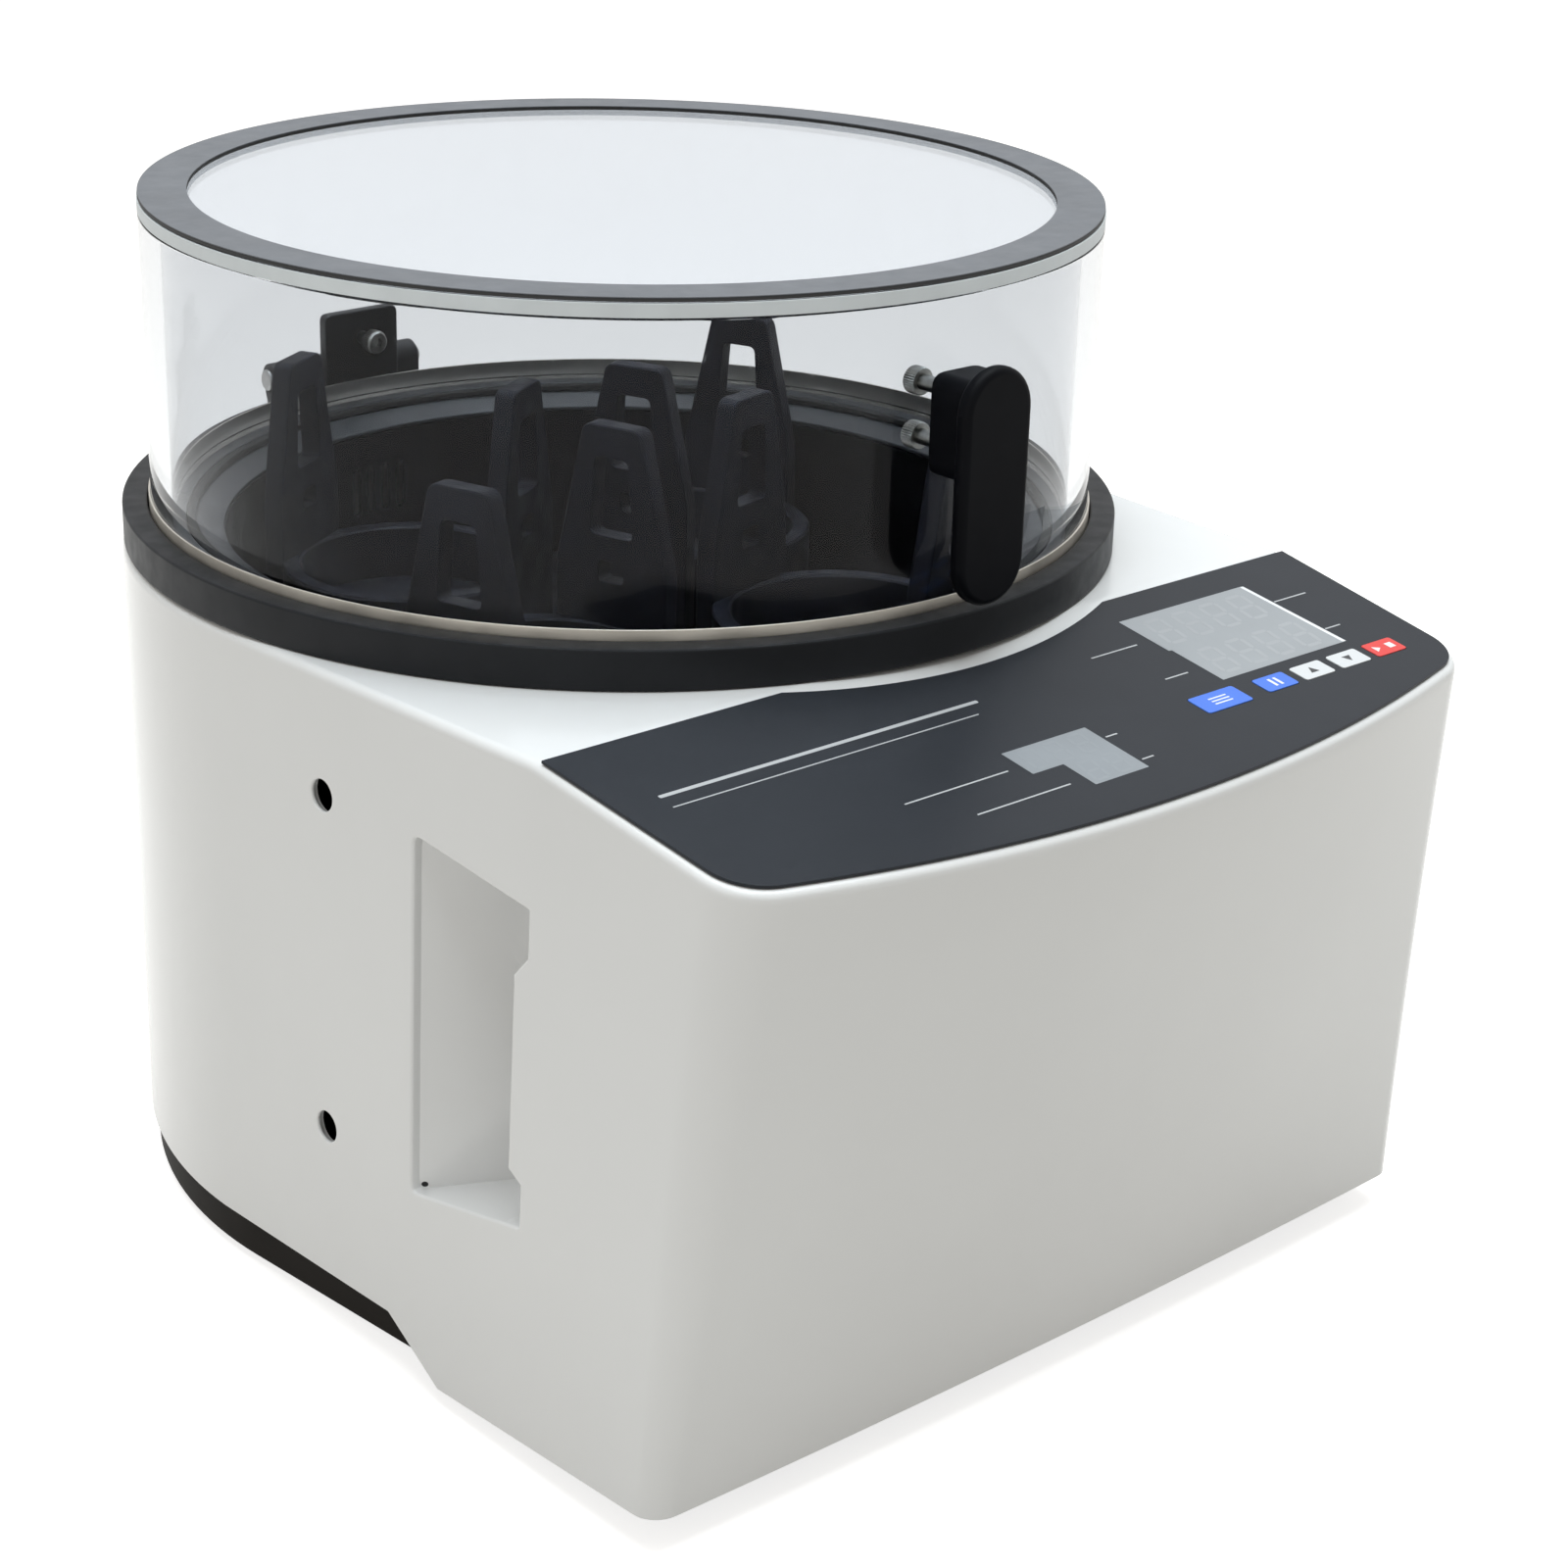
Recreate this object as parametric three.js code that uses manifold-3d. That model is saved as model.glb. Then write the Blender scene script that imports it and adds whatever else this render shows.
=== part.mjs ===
// Planetary ball mill for a laboratory bench: a white casing with a round rear, a clear hinged lid over
// a round chamber, and a sun wheel that carries four geared jar holders. Millimetres and degrees, +Z up.
// Every piece is placed about the chamber's axis, with the front toward -Y, and the whole mill is then
// shifted so that the origin lies under the middle of its outer box.
import * as THREE from 'three';
import { mergeVertices } from 'three/addons/utils/BufferGeometryUtils.js';
import Module from 'manifold-3d';

// Driving dimensions
const body_radius = 170.5;
const panel_length = 97;
const skirt_length = 61.9;
const deck_height = 227.5;
const foot_height = 2;
const seat_gap = 0.3;
const run_gap = 0.6;
const overrun = 20;
const round_steps = 48;
const small_steps = 20;
const inner_steps = 28;

// Casing
const shell_wall = 3;
const side_taper_angle = 3;
const front_bow_radius = 575;
const top_corner_radius = 20;
const panel_break_inset = 9.9;
const panel_slope_angle = 9;
const skirt_bow_radius = 4900;
const skirt_corner_radius = 9;
const rear_edge_height = 17;
const rising_edge_height = 21;
const skirt_step_back = 96;
const skirt_step_front = 123;
const skirt_low_height = 5.8;
const skirt_front_height = 12.6;
const deck_opening_gap = 12;
const side_hole_radius = 5.2;
const side_hole_forward = 62.5;
const side_hole_drop = 40.5;
const side_hole_rise = 56;

// Grip pocket in each side
const grip_back = 108;
const grip_front = 161.5;
const grip_drop = 39;
const grip_rise = 52;
const grip_top_fall = 6;
const grip_bottom_rise = 11;
const grip_lip_width = 6;
const grip_lip_drop = 15;
const grip_lip_bevel = 7;
const grip_lip_bottom_rise = 14;
const grip_lip_bottom_bevel = 3.3;
const grip_edge_depth = 3.2;
const grip_slope_depth = 27;
const grip_slope_run = 20;
const grip_depth = 35;
const grip_hook = 9;
const grip_wall = 2.5;

// Base tray and feet
const tray_inset = 2.3;
const tray_taper_angle = 4.9;
const tray_front_inset = 24.4;
const tray_floor = 3;
const tray_wall = 2.5;
const tray_shoulder = 3.4;
const tray_lip_height = 14;
const tray_corner_radius = 12;
const foot_radius = 14;
const foot_side_inset = 74.5;
const foot_back_inset = 86.5;
const foot_front_inset = 64.4;

// Frame under the chamber
const plate_drop = 35;
const plate_thickness = 6;
const plate_side_inset = 66.5;
const plate_back_inset = 78.5;
const plate_front_inset = 6.4;
const post_radius = 7;
const post_inset = 12;
const post_gap = 0.4;

// Collar, rim, seal and chamber
const collar_height = 13.2;
const collar_inset = 0.5;
const collar_width = 8.5;
const rim_band_width = 12.2;
const rim_top_drop = 3.3;
const rim_step_drop = 6;
const rim_inner_drop = 9.5;
const seal_width = 3.2;
const seal_height = 2.2;
const seal_ledge_width = 3.8;
const rim_ledge_width = 13;
const bowl_wall = 2;
const chamber_depth = 88;
const vent_count = 4;
const vent_width = 4;
const vent_height = 18;
const vent_pitch = 7;
const vent_drop = 32.5;
const vent_side = 9.5;

// Lid
const lid_gap = 1.1;
const lid_wall_thickness = 6.9;
const lid_height = 104.3;
const lid_plate_thickness = 4.4;
const lid_ring_thickness = 1.5;
const lid_ring_inset = 0.3;
const lid_ring_width = 16;

// Lid handle
const handle_stand_off = 19.8;
const handle_thickness = 6;
const handle_width = 28;
const handle_length = 75;
const handle_lift = 5;
const handle_block_width = 22;
const handle_block_height = 32;
const handle_block_drop = 4.2;
const handle_block_round = 5;
const lid_screw_pitch = 17.2;
const lid_screw_radius = 2.5;
const lid_screw_head_radius = 4.3;
const lid_screw_head_length = 5;
const lid_screw_neck = 8;
const lid_screw_depth = 8;

// Hinge
const hinge_gap = 0.5;
const hinge_lift = 4.5;
const barrel_radius = 6;
const pin_radius = 2.5;
const pin_head_radius = 4;
const pin_head_length = 1.8;
const leaf_half_width = 16.8;
const leaf_height = 29;
const leaf_thickness = 4.6;
const leaf_bolt_lift = 19.4;
const web_thickness = 7;
const ear_half_width = 34;
const bracket_thickness = 4;
const bracket_drop = 34;
const bracket_clearance = 1.2;
const hinge_bolt_length = 5;

// Drive
const station_core_radius = 24;
const sun_teeth = 24;
const idler_teeth = 14;
const planet_teeth = 12;
const gear_thickness = 8;
const tip_height_share = 0.9;
const root_depth_share = 1.15;
const tip_half_share = 0.11;
const root_half_share = 0.36;
const gear_lift = 4;
const wheel_gap = 9;
const wheel_thickness = 9;
const wheel_lift = 2.5;
const hub_radius = 24;
const hub_height = 7;
const shaft_radius = 10;
const shaft_flange_radius = 17;
const bearing_outer_radius = 17.5;
const bearing_height = 10;
const housing_neck_radius = 21;
const housing_body_radius = 25;
const housing_flange_radius = 44;
const housing_flange_thickness = 8;
const floor_hole_gap = 1.5;
const planet_shaft_radius = 6;
const planet_shaft_socket = 6;
const idler_stud_radius = 5;

// Belt drive and motor
const belt_height = 62;
const belt_width = 16;
const belt_thickness = 3;
const main_pulley_radius = 48;
const motor_pulley_radius = 20;
const pulley_flange = 2;
const pulley_margin = 4;
const motor_gap = 17;
const motor_radius = 36;
const motor_headroom = 3.9;
const motor_shaft_radius = 5;
const motor_shaft_socket = 16;

// Jar holders: the first station's bearing, and how far each holder is turned from its radius
const station_angle = 122.8;
const station_turns = [-3.4, -14.8, -19.1, -9.5];
const holder_lift = 2.4;
const holder_floor = 7;
const holder_gap = 11;
const holder_wall = 6.5;
const holder_cup_height = 26;
const arm_height = 95;
const arm_inset = 2.3;
const arm_thickness = 7.5;
const arm_base_half_width = 22;
const arm_top_half_width = 12;
const arm_straight_height = 46;
const arm_round = 4;
const window_bottom_half_width = 8.5;
const window_top_half_width = 6.5;
const window_bottom = 57;
const window_top = 84;
const slot_half_width = 5;
const slot_bottom = 41;
const slot_top = 48;

// Control panel: distances down the slope are measured from its upper edge
const overlay_thickness = 1;
const overlay_inset = 2.5;
const overlay_back = 2.1;
const overlay_arc_gap = 6.5;
const window_sink = 0.3;
const display_fit = 0.4;
const display_width = 60.4;
const display_row_depth = 22.4;
const display_right_inset = 46.5;
const display_shift = 1.2;
const display_down = 15.6;
const temperature_right = 0;
const temperature_width = 35.5;
const temperature_step = 12.7;
const temperature_row_depth = 13.5;
const temperature_down = 62.1;
const key_width = 15;
const key_depth = 9;
const menu_key_width = 21.4;
const menu_key_depth = 10.6;
const key_row_gap = 4.5;
const run_key_inset = 37;
const key_spacing = 3;
const menu_key_gap = 7.8;
const key_rise = 0.2;
const key_gap = 0.35;
const key_travel = 0.8;
const board_drop = 13;
const board_thickness = 1.6;
const board_side_margin = 3.5;
const board_back = 14;
const board_front_margin = 9.1;
const standoff_size = 6;
const standoff_gap = 4.8;
const switch_size = 6;

// Power inlet and switch on the rear
const inlet_width = 28;
const inlet_height = 48;
const inlet_rise = 21;
const inlet_flange = 2.5;
const inlet_flange_thickness = 2.2;
const inlet_depth = 24;
const socket_width = 22;
const socket_height = 16;
const socket_depth = 15;
const socket_margin = 6;
const rocker_width = 17;
const rocker_height = 12;
const rocker_margin = 4;
const rocker_depth = 9;
const rocker_bulge = 2.2;

const wasm = await Module();
wasm.setup();

// Placement worked out from the sizes
const radians = THREE.MathUtils.degToRad;
const front_reach = body_radius + panel_length;
const skirt_front_reach = body_radius + skirt_length;
const panel_break = body_radius - panel_break_inset;
const panel_slope = radians(panel_slope_angle);
const panel_front_height = deck_height - Math.tan(panel_slope) * (front_reach - panel_break);
const upper_hole_height = deck_height - side_hole_drop;
const side_hole_heights = { upper: upper_hole_height, lower: rear_edge_height + side_hole_rise };
const grip_top_height = deck_height - grip_drop;
const grip_bottom_height = rear_edge_height + grip_rise;
const tray_radius = body_radius - tray_inset;
const tray_front_reach = skirt_front_reach - tray_front_inset;
const foot_places = {
  side: body_radius - foot_side_inset,
  back: body_radius - foot_back_inset,
  front: skirt_front_reach - foot_front_inset,
};
const collar_bottom = deck_height + seat_gap;
const collar_top = collar_bottom + collar_height;
const collar_outer_radius = body_radius - collar_inset;
const collar_inner_radius = collar_outer_radius - collar_width;
const flange_outer_radius = collar_inner_radius - seat_gap;
const rim_step_radius = flange_outer_radius - rim_band_width;
const bowl_radius = rim_step_radius - rim_ledge_width;
const deck_opening_radius = bowl_radius + bowl_wall + deck_opening_gap;
const floor_top = collar_top - chamber_depth;
const plate_height = floor_top - plate_drop;
const plate_half_width = body_radius - plate_side_inset;
const plate_back = body_radius - plate_back_inset;
const plate_front = skirt_front_reach - plate_front_inset;
const lid_radius = collar_inner_radius - lid_gap;
const lid_inner_radius = lid_radius - lid_wall_thickness;
const lid_top_height = collar_top + lid_height;
const lid_ring_outer_radius = lid_radius - lid_ring_inset;
const lid_ring_inner_radius = lid_ring_outer_radius - lid_ring_width;
const handle_reach = lid_radius + handle_stand_off;
const gear_base = floor_top + gear_lift;
const wheel_base = gear_base + gear_thickness + wheel_lift;
const wheel_top = wheel_base + wheel_thickness;
const holder_base = wheel_top + holder_lift;
// A station lies midway between a core round the axis and the bowl's wall, and the gears reach just to it
const station_distance = (bowl_radius + station_core_radius) / 2;
const gear_module = station_distance / (sun_teeth / 2 + idler_teeth + planet_teeth / 2);
const pitch_radius = (teeth) => (gear_module * teeth) / 2;
const idler_distance = pitch_radius(sun_teeth) + pitch_radius(idler_teeth);
const wheel_radius = bowl_radius - wheel_gap;
const holder_radius = bowl_radius - station_distance - holder_gap;
const arm_offset = holder_radius - arm_inset;
const motor_reach = bowl_radius + bowl_wall + motor_gap + motor_radius;
const board_bottom_drop = (board_drop + board_thickness) / Math.cos(panel_slope);
const panel_fall = Math.tan(panel_slope) * (motor_reach + motor_radius - panel_break);
const motor_top = deck_height - panel_fall - board_bottom_drop - motor_headroom;
const pulley_height = belt_width + pulley_margin;
const inlet_centre_height = rear_edge_height + inlet_rise + inlet_height / 2;
const socket_drop = (inlet_height - socket_height) / 2 - socket_margin;
const rocker_rise = (inlet_height - rocker_height) / 2 - rocker_margin;
const plate_top = plate_height + plate_thickness;
const tray_bottom = foot_height + seat_gap;
const lid_bottom = collar_top - rim_top_drop + seat_gap;
const lid_plate_base = lid_top_height - lid_ring_thickness - seat_gap - lid_plate_thickness;
const hinge_height = collar_top + hinge_lift;
const hinge_reach = body_radius + hinge_gap + barrel_radius;
const rear_reach = hinge_reach + barrel_radius;
const display_left = body_radius - display_right_inset - display_width;
const key_pitch = key_width + key_spacing;
const run_key_place = body_radius - run_key_inset;
const pause_key_place = run_key_place - key_pitch * 3;
const menu_key_place = pause_key_place - key_width / 2 - menu_key_gap - menu_key_width / 2;
const key_down = display_down + display_row_depth * 2 + key_row_gap + key_depth / 2;
const board_half_width = run_key_place + switch_size / 2 + board_side_margin;
const board_front = key_down + board_front_margin;
const standoff_side = display_left + display_width + display_shift + standoff_gap + switch_size / 2;
const standoff_inner = (temperature_right + menu_key_place - menu_key_width / 2) / 2;

// Finishes
function finish(color, roughness, metalness) {
  return new THREE.MeshStandardMaterial({ color, roughness, metalness });
}
const clearFinish = () => new THREE.MeshStandardMaterial({
  color: 0xf4f7f8, roughness: 0.05, metalness: 0, transparent: true, opacity: 0.3,
});
const white_gloss = () => finish(0xe9ebee, 0.25, 0);
const black_satin = () => finish(0x26262a, 0.5, 0);
const black_rubber = () => finish(0x1b1b1d, 0.85, 0);
const dark_metal = () => finish(0x33343a, 0.45, 0.6);
const pale_metal = () => finish(0xb9b8b4, 0.3, 0.9);
const steel = () => finish(0x9c9fa3, 0.35, 0.9);

// Solids
function toSolid(geometry) {
  const bare = geometry.clone();
  bare.deleteAttribute('normal');
  bare.deleteAttribute('uv');
  const merged = mergeVertices(bare);
  return new wasm.Manifold(new wasm.Mesh({
    numProp: 3,
    vertProperties: new Float32Array(merged.attributes.position.array),
    triVerts: new Uint32Array(merged.index.array),
  }));
}

function toGeometry(solid) {
  const cut = solid.getMesh();
  const geometry = new THREE.BufferGeometry();
  geometry.setAttribute('position', new THREE.BufferAttribute(new Float32Array(cut.vertProperties), 3));
  geometry.setIndex(new THREE.BufferAttribute(new Uint32Array(cut.triVerts), 1));
  geometry.computeVertexNormals();
  return geometry;
}

function piece(name, shape, material) {
  const geometry = shape instanceof THREE.BufferGeometry ? shape : toGeometry(shape);
  const made = new THREE.Mesh(geometry, material);
  made.name = name;
  return made;
}

function placed(mesh, x, y, z) {
  mesh.position.set(x, y, z);
  return mesh;
}

const point = (x, y) => new THREE.Vector2(x, y);

// A straight-sided solid over an outline in the XY plane
function prism(outline, low, high, holes = []) {
  const shape = new THREE.Shape(outline);
  holes.forEach((hole) => shape.holes.push(new THREE.Path(hole)));
  const geometry = new THREE.ExtrudeGeometry(shape, { depth: high - low, bevelEnabled: false });
  return geometry.translate(0, 0, low);
}

// A straight-sided solid over an outline in the YZ plane, from one X to another
function sidePrism(outline, left, right) {
  const geometry = prism(outline, left, right);
  return geometry.applyMatrix4(new THREE.Matrix4().makeBasis(
    new THREE.Vector3(0, 1, 0),
    new THREE.Vector3(0, 0, 1),
    new THREE.Vector3(1, 0, 0),
  ));
}

// A straight-sided solid over an outline in the XZ plane, from one Y to another
function frontPrism(outline, front, back) {
  const geometry = prism(outline, -back, -front);
  return geometry.rotateX(Math.PI / 2);
}

function box(x0, x1, y0, y1, z0, z1) {
  return new THREE.BoxGeometry(x1 - x0, y1 - y0, z1 - z0)
    .translate((x0 + x1) / 2, (y0 + y1) / 2, (z0 + z1) / 2);
}

// A turned solid about Z from a profile of [radius, height] pairs that closes on itself or on the axis
function turned(profile, steps = round_steps) {
  const points = profile.map(([radius, height]) => point(radius, height));
  if (profile[0][0] > 0) points.push(points[0].clone());
  return new THREE.LatheGeometry(points, steps).rotateX(Math.PI / 2);
}

function ring(inner, outer, low, high, steps = round_steps) {
  return turned([[inner, low], [outer, low], [outer, high], [inner, high]], steps);
}

function disc(radius, low, high, steps = small_steps) {
  return turned([[0, low], [radius, low], [radius, high], [0, high]], steps);
}

// A cylinder along X or Y about a centre
function crossBar(radius, left, right, y, z, steps = small_steps) {
  return new THREE.CylinderGeometry(radius, radius, right - left, steps)
    .rotateZ(Math.PI / 2).translate((left + right) / 2, y, z);
}

function lengthBar(radius, front, back, x, z, steps = small_steps) {
  return new THREE.CylinderGeometry(radius, radius, back - front, steps)
    .translate(x, (front + back) / 2, z);
}

function roundedRectangle(x0, x1, y0, y1, radius, steps = 4) {
  const points = [];
  const corners = [
    [x1 - radius, y1 - radius], [x0 + radius, y1 - radius],
    [x0 + radius, y0 + radius], [x1 - radius, y0 + radius],
  ];
  corners.forEach(([x, y], corner) => {
    for (let step = 0; step <= steps; step += 1) {
      const angle = ((corner + step / steps) * Math.PI) / 2;
      points.push(point(x + radius * Math.cos(angle), y + radius * Math.sin(angle)));
    }
  });
  return points;
}

// The casing's plan

// Right half of a front: the side line from a given Y, a rounded corner, and the bowed front to X = 0.
// The side is tangent to the rear circle and draws in by the taper.
function frontHalf({ radius, front, taper, bow, corner, sideStart }) {
  const out = point(Math.cos(taper), -Math.sin(taper));
  const along = point(-Math.sin(taper), -Math.cos(taper));
  const bowCentre = bow - front;
  const base = out.clone().multiplyScalar(radius - corner);
  const reach = bow - corner;
  const offset = point(base.x, base.y - bowCentre);
  const half = offset.dot(along);
  const run = -half + Math.sqrt(half * half - offset.lengthSq() + reach * reach);
  const centre = base.clone().add(along.clone().multiplyScalar(run));
  const toFront = Math.atan2(centre.y - bowCentre, centre.x);
  const fromSide = -taper;
  const corner_steps = 6;
  const side_steps = 3;
  const front_steps = 6;
  const points = [];
  const sideEnd = centre.clone().add(out.clone().multiplyScalar(corner));
  const startX = (radius + sideStart * Math.sin(taper)) / Math.cos(taper);
  for (let step = 0; step < side_steps; step += 1) {
    points.push(point(startX, sideStart).lerp(sideEnd, step / side_steps));
  }
  for (let step = 0; step <= corner_steps; step += 1) {
    const angle = fromSide + ((toFront - fromSide) * step) / corner_steps;
    points.push(point(centre.x + corner * Math.cos(angle), centre.y + corner * Math.sin(angle)));
  }
  for (let step = 1; step <= front_steps; step += 1) {
    const angle = toFront + ((-Math.PI / 2 - toFront) * step) / front_steps;
    points.push(point(bow * Math.cos(angle), bowCentre + bow * Math.sin(angle)));
  }
  return points;
}

function mirrored(half) {
  const other = half.slice(0, -1).reverse().map(({ x, y }) => point(-x, y));
  return half.concat(other);
}

// The whole plan, clockwise from the rear centre over the right side
function plan(sizes) {
  const { radius, taper } = sizes;
  const arc_steps = round_steps / 4;
  const arc = [];
  for (let step = 0; step < arc_steps; step += 1) {
    const angle = Math.PI / 2 - (Math.PI / 2) * (step / arc_steps);
    arc.push(point(radius * Math.cos(angle), radius * Math.sin(angle)));
  }
  const side = frontHalf({ ...sizes, sideStart: -radius * Math.sin(taper) });
  const right = arc.concat(side);
  const left = right.slice(1, -1).reverse().map(({ x, y }) => point(-x, y));
  return right.concat(left);
}

// A ruled solid between two plans that have as many points, carried on past both heights
function ruled(lowPlan, highPlan, lowHeight, highHeight, bottom, top) {
  const share = (height) => (height - lowHeight) / (highHeight - lowHeight);
  const level = (height) => lowPlan.map((low, index) => low.clone().lerp(highPlan[index], share(height)));
  const lower = level(bottom);
  const upper = level(top);
  const count = lower.length;
  const positions = [];
  lower.forEach(({ x, y }) => positions.push(x, y, bottom));
  upper.forEach(({ x, y }) => positions.push(x, y, top));
  const index = [];
  for (let here = 0; here < count; here += 1) {
    const next = (here + 1) % count;
    const right_half = here < count / 2;
    if (right_half) index.push(here, here + count, next, next, here + count, next + count);
    else index.push(here, here + count, next + count, here, next + count, next);
  }
  THREE.ShapeUtils.triangulateShape(lower, []).forEach(([a, b, c]) => {
    index.push(a, c, b, a + count, b + count, c + count);
  });
  const geometry = new THREE.BufferGeometry();
  geometry.setAttribute('position', new THREE.Float32BufferAttribute(positions, 3));
  geometry.setIndex(index);
  return facingOut(geometry);
}

// Turns every face over where the solid's volume comes out negative
function facingOut(geometry) {
  const at = geometry.attributes.position;
  const order = geometry.index.array;
  const corners = [new THREE.Vector3(), new THREE.Vector3(), new THREE.Vector3()];
  let volume = 0;
  for (let start = 0; start < order.length; start += 3) {
    corners.forEach((corner, side) => corner.fromBufferAttribute(at, order[start + side]));
    volume += corners[0].dot(corners[1].clone().cross(corners[2]));
  }
  if (volume < 0) {
    for (let start = 0; start < order.length; start += 3) {
      [order[start], order[start + 1]] = [order[start + 1], order[start]];
    }
  }
  return geometry;
}

// Casing

function casingSolid(inset, bottom, top) {
  const shared = { radius: body_radius - inset };
  const low = plan({
    ...shared, front: skirt_front_reach - inset, taper: 0,
    bow: skirt_bow_radius - inset, corner: skirt_corner_radius - inset,
  });
  const high = plan({
    ...shared, front: front_reach - inset, taper: radians(side_taper_angle),
    bow: front_bow_radius - inset, corner: top_corner_radius - inset,
  });
  return toSolid(ruled(low, high, skirt_front_height, panel_front_height, bottom, top));
}

// Side view of the casing: deck, sloping panel and the lower edge with its step down to the skirt
function casingProfile(drop, open) {
  const fall = (distance) => Math.tan(panel_slope) * (distance - panel_break);
  const far = front_reach + overrun;
  const slope_drop = drop / Math.cos(panel_slope);
  const break_shift = (slope_drop - drop) / Math.tan(panel_slope);
  const skirt_slope = (skirt_front_height - skirt_low_height) / (skirt_front_reach - skirt_step_front);
  const top = [
    point(body_radius + overrun, deck_height - drop),
    point(-panel_break - break_shift, deck_height - drop),
    point(-far, deck_height - fall(far) - slope_drop),
  ];
  if (open) {
    return top.concat([point(-far, -overrun * 2), point(body_radius + overrun, -overrun * 2)]);
  }
  return top.concat([
    point(-far, skirt_low_height + skirt_slope * (far - skirt_step_front)),
    point(-skirt_step_front, skirt_low_height),
    point(-skirt_step_back, rising_edge_height),
    point(0, rear_edge_height),
    point(body_radius + overrun, rear_edge_height),
  ]);
}

// Outline of the grip's mouth seen from the side, as [distance forward, height]
function gripMouth(lip) {
  const low_front = grip_bottom_height + grip_bottom_rise;
  const high_front = grip_top_height - grip_top_fall;
  const outline = [[grip_back, grip_top_height], [grip_front, high_front]];
  if (lip) {
    outline.push(
      [grip_front, high_front - grip_lip_drop],
      [grip_front - grip_lip_width, high_front - grip_lip_drop - grip_lip_bevel],
      [grip_front - grip_lip_width, low_front + grip_lip_bottom_rise + grip_lip_bottom_bevel],
      [grip_front, low_front + grip_lip_bottom_rise],
    );
  }
  outline.push([grip_front, low_front], [grip_back, grip_bottom_height]);
  return outline.map(([forward, height]) => point(-forward, height));
}

// The pocket behind a grip's mouth. Its floor drops away from the rear edge and runs on behind the front
// edge, so that fingers hook round it. It leans in with the casing's side.
function gripPocket(side, grow) {
  const depths = [
    [-overrun, grow - grip_back], [grip_edge_depth + grow, grow - grip_back],
    [grip_slope_depth + grow, grow - grip_back - grip_slope_run],
    [grip_depth + grow, -grip_front - grip_hook - grow], [-overrun, -grip_front - grip_hook - grow],
  ];
  const draw_in = Math.tan(radians(side_taper_angle)) * grip_back;
  const lean = Math.atan(draw_in / (panel_front_height - skirt_front_height));
  const middle = (grip_top_height + grip_bottom_height) / 2;
  const half = (grip_top_height - grip_bottom_height) / 2 + overrun;
  const surface = body_radius - (middle - skirt_front_height) * Math.tan(lean);
  const outline = depths.map(([depth, y]) => point(-side * depth, y));
  const tall = toSolid(prism(outline, -half, half))
    .rotate([0, -side * THREE.MathUtils.radToDeg(lean), 0]).translate([side * surface, 0, middle]);
  const spread = gripMouth(false).map(({ x, y }, index) => point(
    x + (index % 3 === 0 ? grow : -grow - grip_hook),
    y + (index < 2 ? grow : -grow),
  ));
  return tall.intersect(toSolid(sidePrism(spread, -body_radius - overrun, body_radius + overrun)));
}

function keyPlaces() {
  const places = [['menu_key', menu_key_place, menu_key_width, menu_key_depth]];
  ['pause_key', 'up_key', 'down_key', 'run_key'].forEach((name, index) => {
    places.push([name, pause_key_place + key_pitch * index, key_width, key_depth]);
  });
  return places;
}

// Windows in the panel, drawn in by an inset, as outlines in the panel's own plane: X, and distance down
// the slope counted negative
function displayOutlines(inset) {
  const rows = [0, 1].map((row) => {
    const left = display_left + display_shift * row;
    const high = -display_down - display_row_depth * row;
    const low = high - display_row_depth;
    return [left + inset, left + display_width - inset, low + inset / 2, high - inset / 2];
  });
  const left = temperature_right - temperature_width + inset;
  const right = temperature_right - inset;
  const high = -temperature_down - inset;
  const middle = -temperature_down - temperature_row_depth + inset;
  const low = -temperature_down - temperature_row_depth * 2 + inset;
  const stepped = [
    point(left, high), point(left, middle), point(left + temperature_step, middle),
    point(left + temperature_step, low), point(right, low), point(right, high),
  ];
  return { rows, stepped };
}

// Cutter for all the openings in the panel, in the panel's plane from one depth to another
function panelCutter(low, high) {
  const { rows, stepped } = displayOutlines(0);
  let cutter = toSolid(prism(stepped, low, high));
  rows.forEach(([x0, x1, y0, y1]) => {
    cutter = cutter.add(toSolid(box(x0, x1, y0, y1, low, high)));
  });
  keyPlaces().forEach(([, place, width, depth]) => {
    cutter = cutter.add(toSolid(box(place - width / 2, place + width / 2,
      -key_down - depth / 2, -key_down + depth / 2, low, high)));
  });
  return cutter;
}

function ontoPanel(solid) {
  return solid.rotate([panel_slope_angle, 0, 0]).translate([0, -panel_break, deck_height]);
}

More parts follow.
